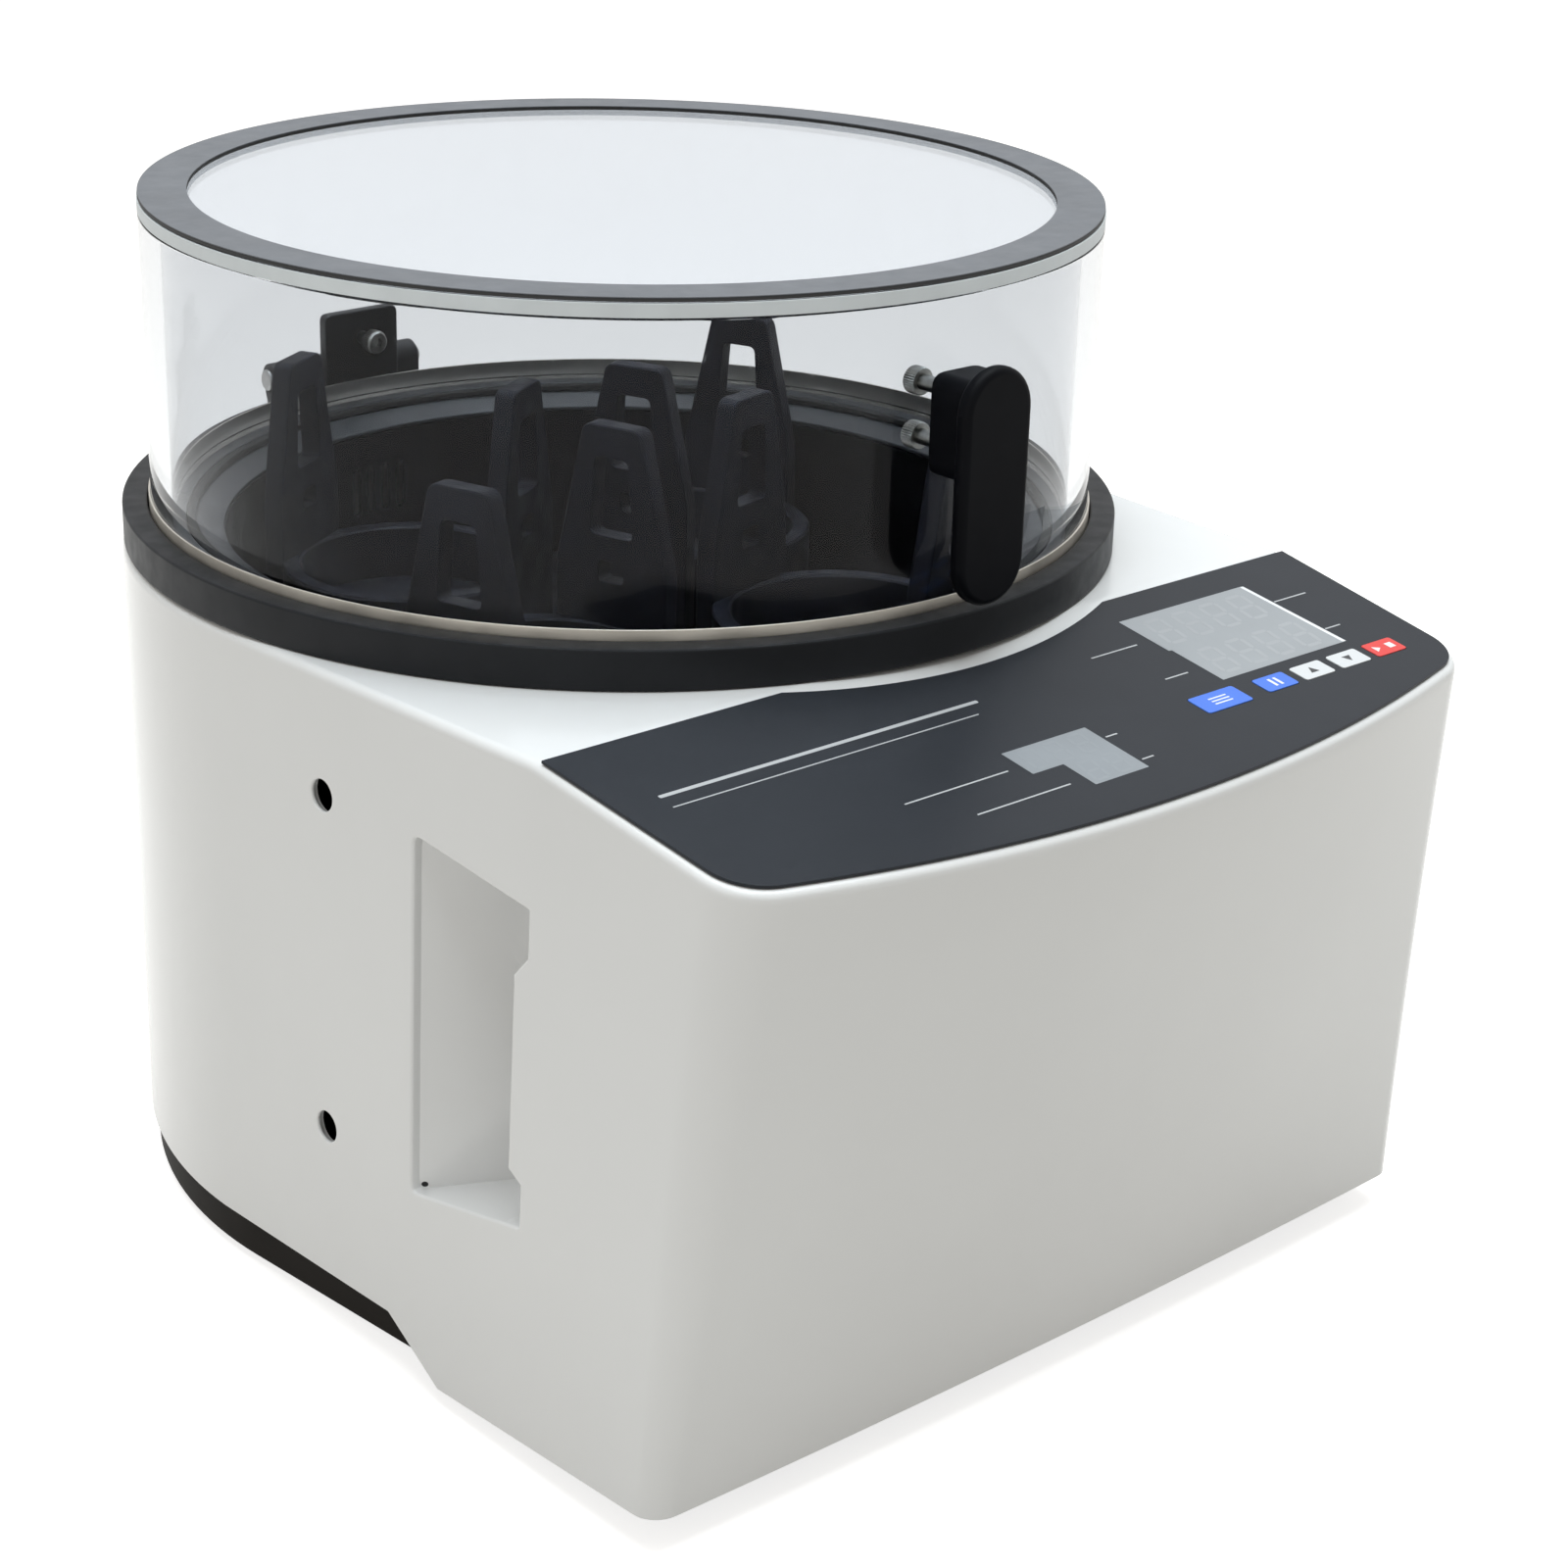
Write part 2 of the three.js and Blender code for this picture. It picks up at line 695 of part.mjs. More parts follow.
function bodyShell() {
  const bottom = -overrun;
  const top = deck_height + overrun;
  const outer = casingSolid(0, bottom, top)
    .intersect(toSolid(sidePrism(casingProfile(0, false), -body_radius * 2, body_radius * 2)));
  const inner = casingSolid(shell_wall, bottom, top)
    .intersect(toSolid(sidePrism(casingProfile(shell_wall, true), -body_radius * 2, body_radius * 2)));
  let shell = outer.subtract(inner);
  [-1, 1].forEach((side) => {
    const hollow = gripPocket(side, 0);
    const from = side > 0 ? body_radius / 2 : -body_radius - overrun;
    const upTo = from + body_radius / 2 + overrun;
    const mouth = toSolid(sidePrism(gripMouth(true), from, upTo)).intersect(hollow);
    shell = shell.add(gripPocket(side, grip_wall).intersect(outer))
      .subtract(hollow.intersect(inner)).subtract(mouth);
    Object.values(side_hole_heights).forEach((height) => {
      shell = shell.subtract(toSolid(crossBar(side_hole_radius, from, upTo, -side_hole_forward, height)));
    });
  });
  shell = shell.subtract(toSolid(disc(deck_opening_radius, deck_height - overrun, top, round_steps)));
  shell = shell.subtract(ontoPanel(panelCutter(-overrun / 2, overrun)));
  const inlet_low = inlet_centre_height - inlet_height / 2;
  const cutout = box(-inlet_width / 2, inlet_width / 2, body_radius - overrun, body_radius + overrun,
    inlet_low, inlet_low + inlet_height);
  return piece('body_shell', shell.subtract(toSolid(cutout)), white_gloss());
}

// Base tray and feet

function trayPlan(inset) {
  return plan({
    radius: tray_radius - inset, front: tray_front_reach - inset, taper: radians(tray_taper_angle),
    bow: skirt_bow_radius - inset, corner: tray_corner_radius - inset,
  });
}

function baseTray() {
  const shoulder = rear_edge_height - seat_gap;
  const top = shoulder + tray_lip_height;
  const low = toSolid(prism(trayPlan(0), tray_bottom, shoulder));
  const lip = toSolid(prism(trayPlan(tray_shoulder), tray_bottom, top));
  const hollow = toSolid(prism(trayPlan(tray_shoulder + tray_wall), tray_bottom + tray_floor, top + overrun));
  return piece('base_tray', low.add(lip).subtract(hollow), black_satin());
}

function feet() {
  const { side, back, front } = foot_places;
  const places = [['rear_left_foot', -side, back], ['rear_right_foot', side, back],
    ['front_left_foot', -side, -front], ['front_right_foot', side, -front]];
  const foot = () => disc(foot_radius, 0, foot_height);
  return places.map(([name, x, y]) => placed(piece(name, foot(), black_rubber()), x, y, 0));
}

// Frame

function framePlate() {
  const half = plate_half_width;
  const plate = toSolid(box(-half, half, -plate_front, plate_back, plate_height, plate_top));
  const low = plate_height - overrun;
  const high = plate_top + overrun;
  const shaft_hole = toSolid(disc(bearing_outer_radius + run_gap, low, high));
  const motor_hole = disc(motor_shaft_radius * 2, low, high);
  return piece('frame_plate', plate.subtract(shaft_hole)
    .subtract(toSolid(motor_hole.translate(0, -motor_reach, 0))), steel());
}

function framePosts() {
  const x = plate_half_width - post_inset;
  const back = plate_back - post_inset;
  const bow = (x * x) / (2 * skirt_bow_radius);
  const front = post_radius + post_gap + bow + tray_shoulder + tray_wall - tray_front_reach;
  const low = tray_bottom + tray_floor + seat_gap;
  const high = plate_height - seat_gap;
  const places = [['rear_left_post', -x, back], ['rear_right_post', x, back],
    ['front_left_post', -x, front], ['front_right_post', x, front]];
  const post = () => disc(post_radius, low, high, small_steps / 2);
  return places.map(([name, px, py]) => placed(piece(name, post(), steel()), px, py, 0));
}

// Collar, rim, seal and chamber bowl

function collarRing() {
  const shape = ring(collar_inner_radius, collar_outer_radius, collar_bottom, collar_top);
  return piece('collar_ring', shape, black_satin());
}

function chamberRim() {
  const base = collar_bottom + bowl_wall + seat_gap;
  const inner = bowl_radius + seat_gap;
  const ledge = collar_top - rim_step_drop;
  return piece('chamber_rim', turned([
    [inner, base], [flange_outer_radius, base], [flange_outer_radius, collar_top - rim_top_drop],
    [rim_step_radius, collar_top - rim_top_drop], [rim_step_radius, ledge],
    [rim_step_radius - seal_ledge_width, ledge], [inner, collar_top - rim_inner_drop],
  ]), pale_metal());
}

function lidSeal() {
  const outer = rim_step_radius - seat_gap;
  const low = collar_top - rim_step_drop + seat_gap;
  return piece('lid_seal', ring(outer - seal_width, outer, low, low + seal_height), black_rubber());
}

function chamberBowl() {
  const low = floor_top - bowl_wall;
  const flange_top = collar_bottom + bowl_wall;
  const hole = housing_body_radius + floor_hole_gap;
  let bowl = toSolid(turned([
    [hole, low], [bowl_radius + bowl_wall, low], [bowl_radius + bowl_wall, collar_bottom],
    [flange_outer_radius, collar_bottom], [flange_outer_radius, flange_top],
    [bowl_radius, flange_top], [bowl_radius, floor_top], [hole, floor_top],
  ]));
  const middle = collar_top - vent_drop;
  for (let index = 0; index < vent_count; index += 1) {
    const x = -vent_side + vent_pitch * (index - (vent_count - 1) / 2);
    bowl = bowl.subtract(toSolid(box(x - vent_width / 2, x + vent_width / 2, bowl_radius - overrun,
      bowl_radius + overrun, middle - vent_height / 2, middle + vent_height / 2)));
  }
  return piece('chamber_bowl', bowl, dark_metal());
}

// Lid

const handle_middle = lid_top_height - lid_ring_thickness - seat_gap;
const handle_top = collar_top + handle_lift + handle_length;
const block_top = handle_top - handle_block_drop;
const block_middle = block_top - handle_block_height / 2;
const screw_heights = {
  upper: block_middle + lid_screw_pitch / 2,
  lower: block_middle - lid_screw_pitch / 2,
};
const leaf_bolt_height = collar_top + leaf_bolt_lift;

function lidWall() {
  let wall = toSolid(ring(lid_inner_radius, lid_radius, lid_bottom, lid_plate_base - seat_gap));
  const hole = lid_screw_radius + seat_gap;
  Object.values(screw_heights).forEach((height) => {
    wall = wall.subtract(toSolid(lengthBar(hole, -lid_radius - overrun, -lid_inner_radius + overrun,
      0, height, small_steps / 2)));
  });
  wall = wall.subtract(toSolid(lengthBar(hole, lid_inner_radius - overrun, lid_radius + overrun, 0,
    leaf_bolt_height, small_steps / 2)));
  return piece('lid_wall', wall, clearFinish());
}

function lidTop() {
  const shape = disc(lid_radius, lid_plate_base, lid_plate_base + lid_plate_thickness, round_steps);
  return piece('lid_top', shape, clearFinish());
}

function lidRing() {
  const shape = ring(lid_ring_inner_radius, lid_ring_outer_radius, handle_middle + seat_gap, lid_top_height);
  return piece('lid_ring', shape, finish(0x55565c, 0.5, 0.1));
}

// A grip plate with round ends on a block that is screwed to the lid's wall
function lidHandle() {
  const half = handle_width / 2;
  const low = collar_top + handle_lift;
  const plate = toSolid(frontPrism(roundedRectangle(-half, half, low, handle_top, half, small_steps / 2),
    -handle_reach, -handle_reach + handle_thickness));
  const back = -lid_radius - seat_gap;
  const block_outline = roundedRectangle(-handle_block_width / 2, handle_block_width / 2,
    block_top - handle_block_height, block_top, handle_block_round);
  const block = toSolid(frontPrism(block_outline, -handle_reach + handle_thickness / 2, back));
  let handle = plate.add(block);
  Object.values(screw_heights).forEach((height) => {
    handle = handle.subtract(toSolid(lengthBar(lid_screw_radius + seat_gap, back - lid_screw_depth,
      back + overrun, 0, height, small_steps / 2)));
  });
  return piece('lid_handle', handle, black_satin());
}

// A screw along Y whose head stands inside the lid, off its wall by the neck; side is -1 toward the front
// and 1 toward the rear
function lidScrew(name, side, height, length, neck) {
  const head_face = lid_inner_radius - seat_gap * 2 - neck;
  const shape = turned([
    [0, head_face - lid_screw_head_length],
    [lid_screw_head_radius, head_face - lid_screw_head_length],
    [lid_screw_head_radius, head_face],
    [lid_screw_radius, head_face],
    [lid_screw_radius, lid_radius + length],
    [0, lid_radius + length],
  ], small_steps / 2);
  const screw = piece(name, shape, pale_metal());
  screw.rotation.x = (-side * Math.PI) / 2;
  return placed(screw, 0, 0, height);
}

// Hinge

function hingeLeaf() {
  const near = lid_radius + seat_gap;
  const low = collar_top + seat_gap * 2;
  const bore = pin_radius + seat_gap;
  let leaf = toSolid(box(-leaf_half_width, leaf_half_width, near, near + leaf_thickness,
    low, low + leaf_height));
  const web = box(-leaf_half_width, leaf_half_width, near + leaf_thickness / 2, hinge_reach,
    hinge_height - web_thickness / 2, hinge_height + web_thickness / 2);
  leaf = leaf.add(toSolid(web))
    .add(toSolid(crossBar(barrel_radius, -leaf_half_width, leaf_half_width, hinge_reach, hinge_height)))
    .subtract(toSolid(crossBar(bore, -leaf_half_width - overrun, leaf_half_width + overrun, hinge_reach,
      hinge_height)));
  const bolt = lengthBar(lid_screw_radius + seat_gap, near - overrun, near + leaf_thickness + overrun, 0,
    leaf_bolt_height, small_steps / 2);
  return piece('hinge_leaf', leaf.subtract(toSolid(bolt)), black_satin());
}

// Curved plate on the casing's rear with two ears that carry the pin
function hingeBracket() {
  const near = body_radius + seat_gap;
  const centre_top = hinge_height - barrel_radius - bracket_clearance;
  const low = collar_top - bracket_drop;
  const slab = box(-ear_half_width, ear_half_width, near / 2, near + overrun, low, hinge_height);
  let bracket = toSolid(ring(near, near + bracket_thickness, low, centre_top)).intersect(toSolid(slab));
  const ear_inner = leaf_half_width + run_gap;
  const front = hinge_reach - barrel_radius;
  const outline = [point(front, hinge_height), point(front, low + bracket_drop / 2),
    point(near + bracket_thickness, low + bracket_drop / 2),
    point(hinge_reach + barrel_radius, hinge_height)];
  [[-ear_half_width, -ear_inner], [ear_inner, ear_half_width]].forEach(([left, right]) => {
    bracket = bracket.add(toSolid(sidePrism(outline, left, right)))
      .add(toSolid(crossBar(barrel_radius, left, right, hinge_reach, hinge_height)));
  });
  const bore = crossBar(pin_radius + seat_gap, -ear_half_width - overrun, ear_half_width + overrun,
    hinge_reach, hinge_height);
  return piece('hinge_bracket', bracket.subtract(toSolid(bore)), black_satin());
}

function hingePin() {
  const end = ear_half_width + seat_gap;
  const head = end + pin_head_length;
  const shape = turned([
    [0, -head], [pin_head_radius, -head], [pin_head_radius, -end], [pin_radius, -end],
    [pin_radius, end], [pin_head_radius, end], [pin_head_radius, head], [0, head],
  ], small_steps).rotateY(Math.PI / 2);
  return placed(piece('hinge_pin', shape, steel()), 0, hinge_reach, hinge_height);
}

// Gears

// A spur gear's outline with flat-topped teeth, one of them centred on the given bearing
function gearOutline(teeth, bearing) {
  const pitch = pitch_radius(teeth);
  const tip = pitch + gear_module * tip_height_share;
  const root = pitch - gear_module * root_depth_share;
  const step = (Math.PI * 2) / teeth;
  const corners = [[root, -root_half_share], [tip, -tip_half_share],
    [tip, tip_half_share], [root, root_half_share]];
  const points = [];
  for (let tooth = 0; tooth < teeth; tooth += 1) {
    corners.forEach(([radius, share]) => {
      const angle = bearing + step * (tooth + share);
      points.push(point(radius * Math.cos(angle), radius * Math.sin(angle)));
    });
  }
  return points;
}

function circleHole(radius, steps = small_steps) {
  const points = [];
  for (let step = 0; step < steps; step += 1) {
    const angle = (-Math.PI * 2 * step) / steps;
    points.push(point(radius * Math.cos(angle), radius * Math.sin(angle)));
  }
  return points;
}

function gear(teeth, bearing, bore) {
  const holes = bore > 0 ? [circleHole(bore)] : [];
  return prism(gearOutline(teeth, bearing), gear_base, gear_base + gear_thickness, holes);
}

// Shaft, housing and bearings on the chamber's axis

const neck_top = gear_base + gear_thickness - run_gap;
const housing_base = plate_top + seat_gap;
const bearing_bore = shaft_radius + seat_gap;

function bearingHousing() {
  const bore = bearing_outer_radius + seat_gap;
  return piece('bearing_housing', turned([
    [bore, housing_base], [housing_flange_radius, housing_base],
    [housing_flange_radius, housing_base + housing_flange_thickness],
    [housing_body_radius, housing_base + housing_flange_thickness],
    [housing_body_radius, gear_base - seat_gap], [housing_neck_radius, gear_base - seat_gap],
    [housing_neck_radius, neck_top], [bore, neck_top],
  ], inner_steps), steel());
}

function bearings() {
  const upper_top = neck_top - run_gap;
  const places = [['upper_bearing', upper_top - bearing_height], ['lower_bearing', housing_base + run_gap]];
  return places.map(([name, low]) => piece(name,
    ring(bearing_bore, bearing_outer_radius, low, low + bearing_height, inner_steps), pale_metal()));
}

function fixedSunGear() {
  const bore = housing_neck_radius + seat_gap;
  return piece('fixed_sun_gear', gear(sun_teeth, radians(station_angle), bore), steel());
}

const shaft_bottom = belt_height - pulley_height / 2 - pulley_flange * 2;

function mainShaft() {
  return piece('main_shaft', turned([
    [0, shaft_bottom], [shaft_radius, shaft_bottom], [shaft_radius, neck_top + run_gap],
    [shaft_flange_radius, neck_top + run_gap], [shaft_flange_radius, wheel_base - seat_gap],
    [shaft_radius, wheel_base - seat_gap], [shaft_radius, wheel_top + hub_height / 2],
    [0, wheel_top + hub_height / 2],
  ], inner_steps), steel());
}

// The wheel that carries the stations: a disc with a hub, a bore for each planet shaft and a stud under
// it for each idler gear
function sunWheel() {
  let wheel = toSolid(turned([
    [shaft_radius + seat_gap, wheel_base], [wheel_radius, wheel_base], [wheel_radius, wheel_top],
    [hub_radius, wheel_top], [hub_radius, wheel_top + hub_height],
    [0, wheel_top + hub_height], [0, wheel_top + hub_height / 2 + seat_gap],
    [shaft_radius + seat_gap, wheel_top + hub_height / 2 + seat_gap],
  ], inner_steps));
  stations().forEach(({ angle }) => {
    const at = (distance) => [distance * Math.cos(angle), distance * Math.sin(angle)];
    const [px, py] = at(station_distance);
    const bore = disc(planet_shaft_radius + seat_gap, wheel_base - overrun, wheel_top + overrun);
    const [ix, iy] = at(idler_distance);
    const stud = disc(idler_stud_radius, gear_base, wheel_base + wheel_thickness / 2);
    wheel = wheel.subtract(toSolid(bore.translate(px, py, 0))).add(toSolid(stud.translate(ix, iy, 0)));
  });
  return piece('sun_wheel', wheel, dark_metal());
}

// Stations

function stations() {
  return station_turns.map((turn, index) => ({
    number: index + 1,
    angle: radians(station_angle) + (Math.PI / 2) * index,
    turn: radians(turn),
  }));
}

// An idler shows a gap to the sun gear and, with an even count of teeth, one to the planet gear as well
function idlerGear({ number, angle }) {
  const gap_bearing = angle + Math.PI / idler_teeth;
  const shape = gear(idler_teeth, gap_bearing, idler_stud_radius + seat_gap);
  return placed(piece(`idler_gear_${number}`, shape, steel()),
    idler_distance * Math.cos(angle), idler_distance * Math.sin(angle), 0);
}

function planetGear({ number, angle }) {
  const shaft_top = holder_base + planet_shaft_socket - seat_gap;
  const shaft = toSolid(disc(planet_shaft_radius, gear_base + gear_thickness / 2, shaft_top));
  const shape = toSolid(gear(planet_teeth, angle, 0)).add(shaft);
  return placed(piece(`planet_gear_${number}`, shape, steel()),
    station_distance * Math.cos(angle), station_distance * Math.sin(angle), 0);
}

// Outline of one arm across its width, from the holder's base up
function armOutline() {
  const top = arm_height;
  const slope = Math.atan2(arm_base_half_width - arm_top_half_width, top - arm_straight_height);
  const points = [point(-arm_base_half_width, 0), point(arm_base_half_width, 0),
    point(arm_base_half_width, arm_straight_height)];
  const corner = [];
  const corner_steps = 3;
  const centre = point(arm_top_half_width - arm_round / 2, top - arm_round);
  for (let step = 0; step <= corner_steps; step += 1) {
    const angle = slope + ((Math.PI / 2 - slope) * step) / corner_steps;
    corner.push(point(centre.x + arm_round * Math.cos(angle), centre.y + arm_round * Math.sin(angle)));
  }
  const left = corner.map(({ x, y }) => point(-x, y)).reverse();
  return points.concat(corner, left, [point(-arm_base_half_width, arm_straight_height)]);
}

// A round cup with two windowed arms that stand on opposite sides of it
function jarHolder({ number, angle, turn }) {
  const outline = armOutline();
  const half = arm_thickness / 2;
  const upright = (shape, offset) => toSolid(frontPrism(shape, offset - half, offset + half));
  let holder = toSolid(disc(holder_radius, 0, holder_cup_height, inner_steps));
  [-arm_offset, arm_offset].forEach((offset) => { holder = holder.add(upright(outline, offset)); });
  const seat = holder_radius - holder_wall;
  holder = holder.subtract(toSolid(disc(seat, holder_floor, holder_cup_height + overrun, inner_steps)));
  const wide = arm_offset + arm_thickness;
  const window = [
    point(-window_bottom_half_width, window_bottom), point(window_bottom_half_width, window_bottom),
    point(window_top_half_width, window_top), point(-window_top_half_width, window_top),
  ];
  const slot = [point(-slot_half_width, slot_bottom), point(slot_half_width, slot_bottom),
    point(slot_half_width, slot_top), point(-slot_half_width, slot_top)];
  [window, slot].forEach((opening) => {
    holder = holder.subtract(toSolid(frontPrism(opening, -wide, wide)));
  });
  holder = holder.subtract(toSolid(disc(planet_shaft_radius + seat_gap, -overrun, planet_shaft_socket)));
  const made = piece(`jar_holder_${number}`, holder, dark_metal());
  made.rotation.z = angle + turn - Math.PI / 2;
  return placed(made, station_distance * Math.cos(angle), station_distance * Math.sin(angle), holder_base);
}

// Belt drive

const pulley_base = belt_height - pulley_height / 2;

function pulleyProfile(radius, bore) {
  const groove = radius - belt_thickness / 2;
  const low = pulley_base;
  const high = pulley_base + pulley_height;
  return [[bore, low], [radius + belt_thickness, low], [radius + belt_thickness, low + pulley_flange / 2],
    [groove, low + pulley_flange / 2], [groove, high - pulley_flange / 2],
    [radius + belt_thickness, high - pulley_flange / 2], [radius + belt_thickness, high], [bore, high]];
}

function mainPulley() {
  return piece('main_pulley', turned(pulleyProfile(main_pulley_radius, shaft_radius + seat_gap), inner_steps),
    dark_metal());
}

// The motor's pulley with the shaft that turns in the motor
function motorPulley() {
  const shaft = toSolid(disc(motor_shaft_radius, pulley_base + pulley_height / 2,
    plate_top + seat_gap + motor_shaft_socket - seat_gap));
  const pulley = toSolid(turned(pulleyProfile(motor_pulley_radius, motor_shaft_radius / 2), small_steps));
  const core = toSolid(disc(motor_shaft_radius, pulley_base, pulley_base + pulley_height));
  return placed(piece('motor_pulley', pulley.add(core).add(shaft), dark_metal()), 0, -motor_reach, 0);
}

function beltOutline(grow) {
  const big = main_pulley_radius - belt_thickness / 2 + seat_gap * 2 + grow;
  const small = motor_pulley_radius - belt_thickness / 2 + seat_gap * 2 + grow;
  const lean = Math.asin((big - small) / motor_reach);
  const steps = 20;
  const points = [];
  for (let step = 0; step <= steps; step += 1) {
    const angle = -lean + ((Math.PI + lean * 2) * step) / steps;
    points.push(point(big * Math.cos(angle), big * Math.sin(angle)));
  }
  for (let step = 0; step <= steps / 2; step += 1) {
    const angle = Math.PI + lean + ((Math.PI - lean * 2) * step) / (steps / 2);
    points.push(point(small * Math.cos(angle), -motor_reach + small * Math.sin(angle)));
  }
  return points;
}

function driveBelt() {
  const low = belt_height - belt_width / 2;
  return piece('drive_belt', prism(beltOutline(belt_thickness - seat_gap * 2), low, low + belt_width,
    [beltOutline(0).reverse()]), black_rubber());
}

function motor() {
  const low = plate_top + seat_gap;
  const shape = turned([
    [motor_shaft_radius + run_gap, low], [motor_radius, low], [motor_radius, motor_top],
    [0, motor_top], [0, low + motor_shaft_socket], [motor_shaft_radius + run_gap, low + motor_shaft_socket],
  ], inner_steps);
  return placed(piece('motor', shape, black_satin()), 0, -motor_reach, 0);
}

// Control panel pieces, in the plane of the slope

function overlayPlan() {
  const start = -panel_break - overlay_back;
  const half = frontHalf({
    radius: body_radius - overlay_inset, front: front_reach - overlay_inset, taper: radians(side_taper_angle),
    bow: front_bow_radius - overlay_inset, corner: top_corner_radius - overlay_inset, sideStart: start,
  });
  const edge = mirrored(half);
  const arc_radius = body_radius + overlay_arc_gap;
  const arc_half = Math.acos(-start / arc_radius);
  const arc_steps = 12;
  for (let step = 0; step <= arc_steps; step += 1) {
    const angle = -Math.PI / 2 - arc_half + (arc_half * 2 * step) / arc_steps;
    edge.push(point(arc_radius * Math.cos(angle), arc_radius * Math.sin(angle)));
  }
  return edge.map(({ x, y }) => point(x, (y + panel_break) / Math.cos(panel_slope))).reverse();
}

function panelOverlay() {
  const low = seat_gap;
  const plate = prism(overlayPlan(), low, low + overlay_thickness);
  const sheet = toSolid(facingOut(mergeVertices(bareCopy(plate))));
  return piece('panel_overlay', sheet.subtract(panelCutter(-overrun, overrun)), finish(0x3d4046, 0.45, 0));
}

function bareCopy(geometry) {
  geometry.deleteAttribute('normal');
  geometry.deleteAttribute('uv');
  return geometry;
}

const board_top = -board_drop;

function displays() {
  const { rows, stepped } = displayOutlines(display_fit);
  const low = board_top + seat_gap;
  const high = seat_gap + overlay_thickness - window_sink;
  const glass = () => finish(0xbcc2c6, 0.25, 0);
  const made = ['speed_display', 'time_display'].map((name, row) => {
    const [x0, x1, y0, y1] = rows[row];
    return piece(name, box(x0, x1, y0, y1, low, high), glass());
  });
  made.push(piece('temperature_display', prism(stepped, low, high), glass()));
  return made;
}

function keys() {
  const colours = {
    menu_key: 0x3c78e1, pause_key: 0x3c78e1, up_key: 0xe9ebee, down_key: 0xe9ebee, run_key: 0xdc2d28,
  };
  const high = seat_gap + overlay_thickness + key_rise;
  const low = board_top + switch_size / 2 + key_travel + seat_gap;
  return keyPlaces().map(([name, place, width, depth]) => {
    const half_width = width / 2 - key_gap;
    const half_depth = depth / 2 - key_gap;
    const shape = box(-half_width, half_width, -half_depth, half_depth, low, high);
    return placed(piece(name, shape, finish(colours[name], 0.4, 0)), place, -key_down, 0);
  });
}

// Circuit board with a switch under each key and a stand-off at each corner up to the casing
function controlBoard() {
  let board = toSolid(box(-board_half_width, board_half_width, -board_front, -board_back,
    board_top - board_thickness, board_top));
  const part = switch_size / 2;
  const sunk = board_thickness / 2;
  keyPlaces().forEach(([, place]) => {
    board = board.add(toSolid(box(place - part, place + part, -key_down - part, -key_down + part,
      board_top - sunk, board_top + part)));
  });
  const reach = -shell_wall - seat_gap;
  const back = -board_back - standoff_size;
  const front = -board_front + standoff_size;
  const standoffs = [[-standoff_side, back], [standoff_side, back],
    [-standoff_side, front], [standoff_inner, front]];
  standoffs.forEach(([x, y]) => {
    board = board.add(toSolid(box(x - part, x + part, y - part, y + part, board_top - sunk, reach)));
  });
  return piece('control_board', board, finish(0x1f5a34, 0.6, 0));
}

function controlPanel() {
  const panel = new THREE.Group();
  panel.add(panelOverlay(), ...displays(), ...keys(), controlBoard());
  panel.rotation.x = panel_slope;
  panel.position.set(0, -panel_break, deck_height);
  return panel;
}

// Power inlet with its switch

const inlet_face = body_radius + seat_gap + inlet_flange_thickness;

function powerInlet() {
  const half_width = inlet_width / 2;
  const half_height = inlet_height / 2;
  const z = inlet_centre_height;
  const grow = inlet_flange;
  const flange = box(-half_width - grow, half_width + grow, body_radius + seat_gap, inlet_face,
    z - half_height - grow, z + half_height + grow);
  const body = box(-half_width + seat_gap, half_width - seat_gap, inlet_face - inlet_depth, inlet_face,
    z - half_height + seat_gap, z + half_height - seat_gap);
  const socket = box(-socket_width / 2, socket_width / 2, inlet_face - socket_depth, inlet_face + overrun,
    z - socket_drop - socket_height / 2, z - socket_drop + socket_height / 2);
  const well = box(-rocker_width / 2 - run_gap, rocker_width / 2 + run_gap,
    inlet_face - rocker_depth - run_gap * 2, inlet_face + overrun,
    z + rocker_rise - rocker_height / 2 - run_gap * 2, z + rocker_rise + rocker_height / 2 + run_gap * 2);
  const shape = toSolid(flange).add(toSolid(body)).subtract(toSolid(socket)).subtract(toSolid(well));
  return piece('power_inlet', shape, black_satin());
}

// A rocker with a shallow V face, seen along X
function powerSwitch() {
  const half = rocker_height / 2;
  const z = inlet_centre_height + rocker_rise;
  const outline = [
    point(inlet_face - rocker_depth / 2, z - half), point(inlet_face + rocker_bulge / 2, z - half),
    point(inlet_face, z), point(inlet_face + rocker_bulge, z + half),
    point(inlet_face - rocker_depth / 2, z + half), point(inlet_face - rocker_depth, z),
  ];
  return piece('power_switch', facingOut(mergeVertices(bareCopy(sidePrism(outline, -rocker_width / 2,
    rocker_width / 2)))), finish(0xb02020, 0.4, 0));
}

const mill = new THREE.Group();
mill.add(bodyShell(), baseTray(), ...feet(), framePlate(), ...framePosts());
mill.add(collarRing(), chamberRim(), lidSeal(), chamberBowl());
mill.add(lidWall(), lidTop(), lidRing(), lidHandle());
Object.entries(screw_heights).forEach(([name, height]) => {
  mill.add(lidScrew(`${name}_handle_screw`, -1, height, lid_screw_depth - seat_gap * 3, lid_screw_neck));
});
mill.add(lidScrew('hinge_bolt', 1, leaf_bolt_height, hinge_bolt_length, 0));
mill.add(hingeLeaf(), hingeBracket(), hingePin());
mill.add(bearingHousing(), ...bearings(), fixedSunGear(), mainShaft(), sunWheel());
stations().forEach((station) => {
  mill.add(idlerGear(station), planetGear(station), jarHolder(station));
});
mill.add(mainPulley(), motorPulley(), driveBelt(), motor());
mill.add(controlPanel(), powerInlet(), powerSwitch());
mill.position.y = (front_reach - rear_reach) / 2;

const part = new THREE.Group();
part.add(mill);

export default part;
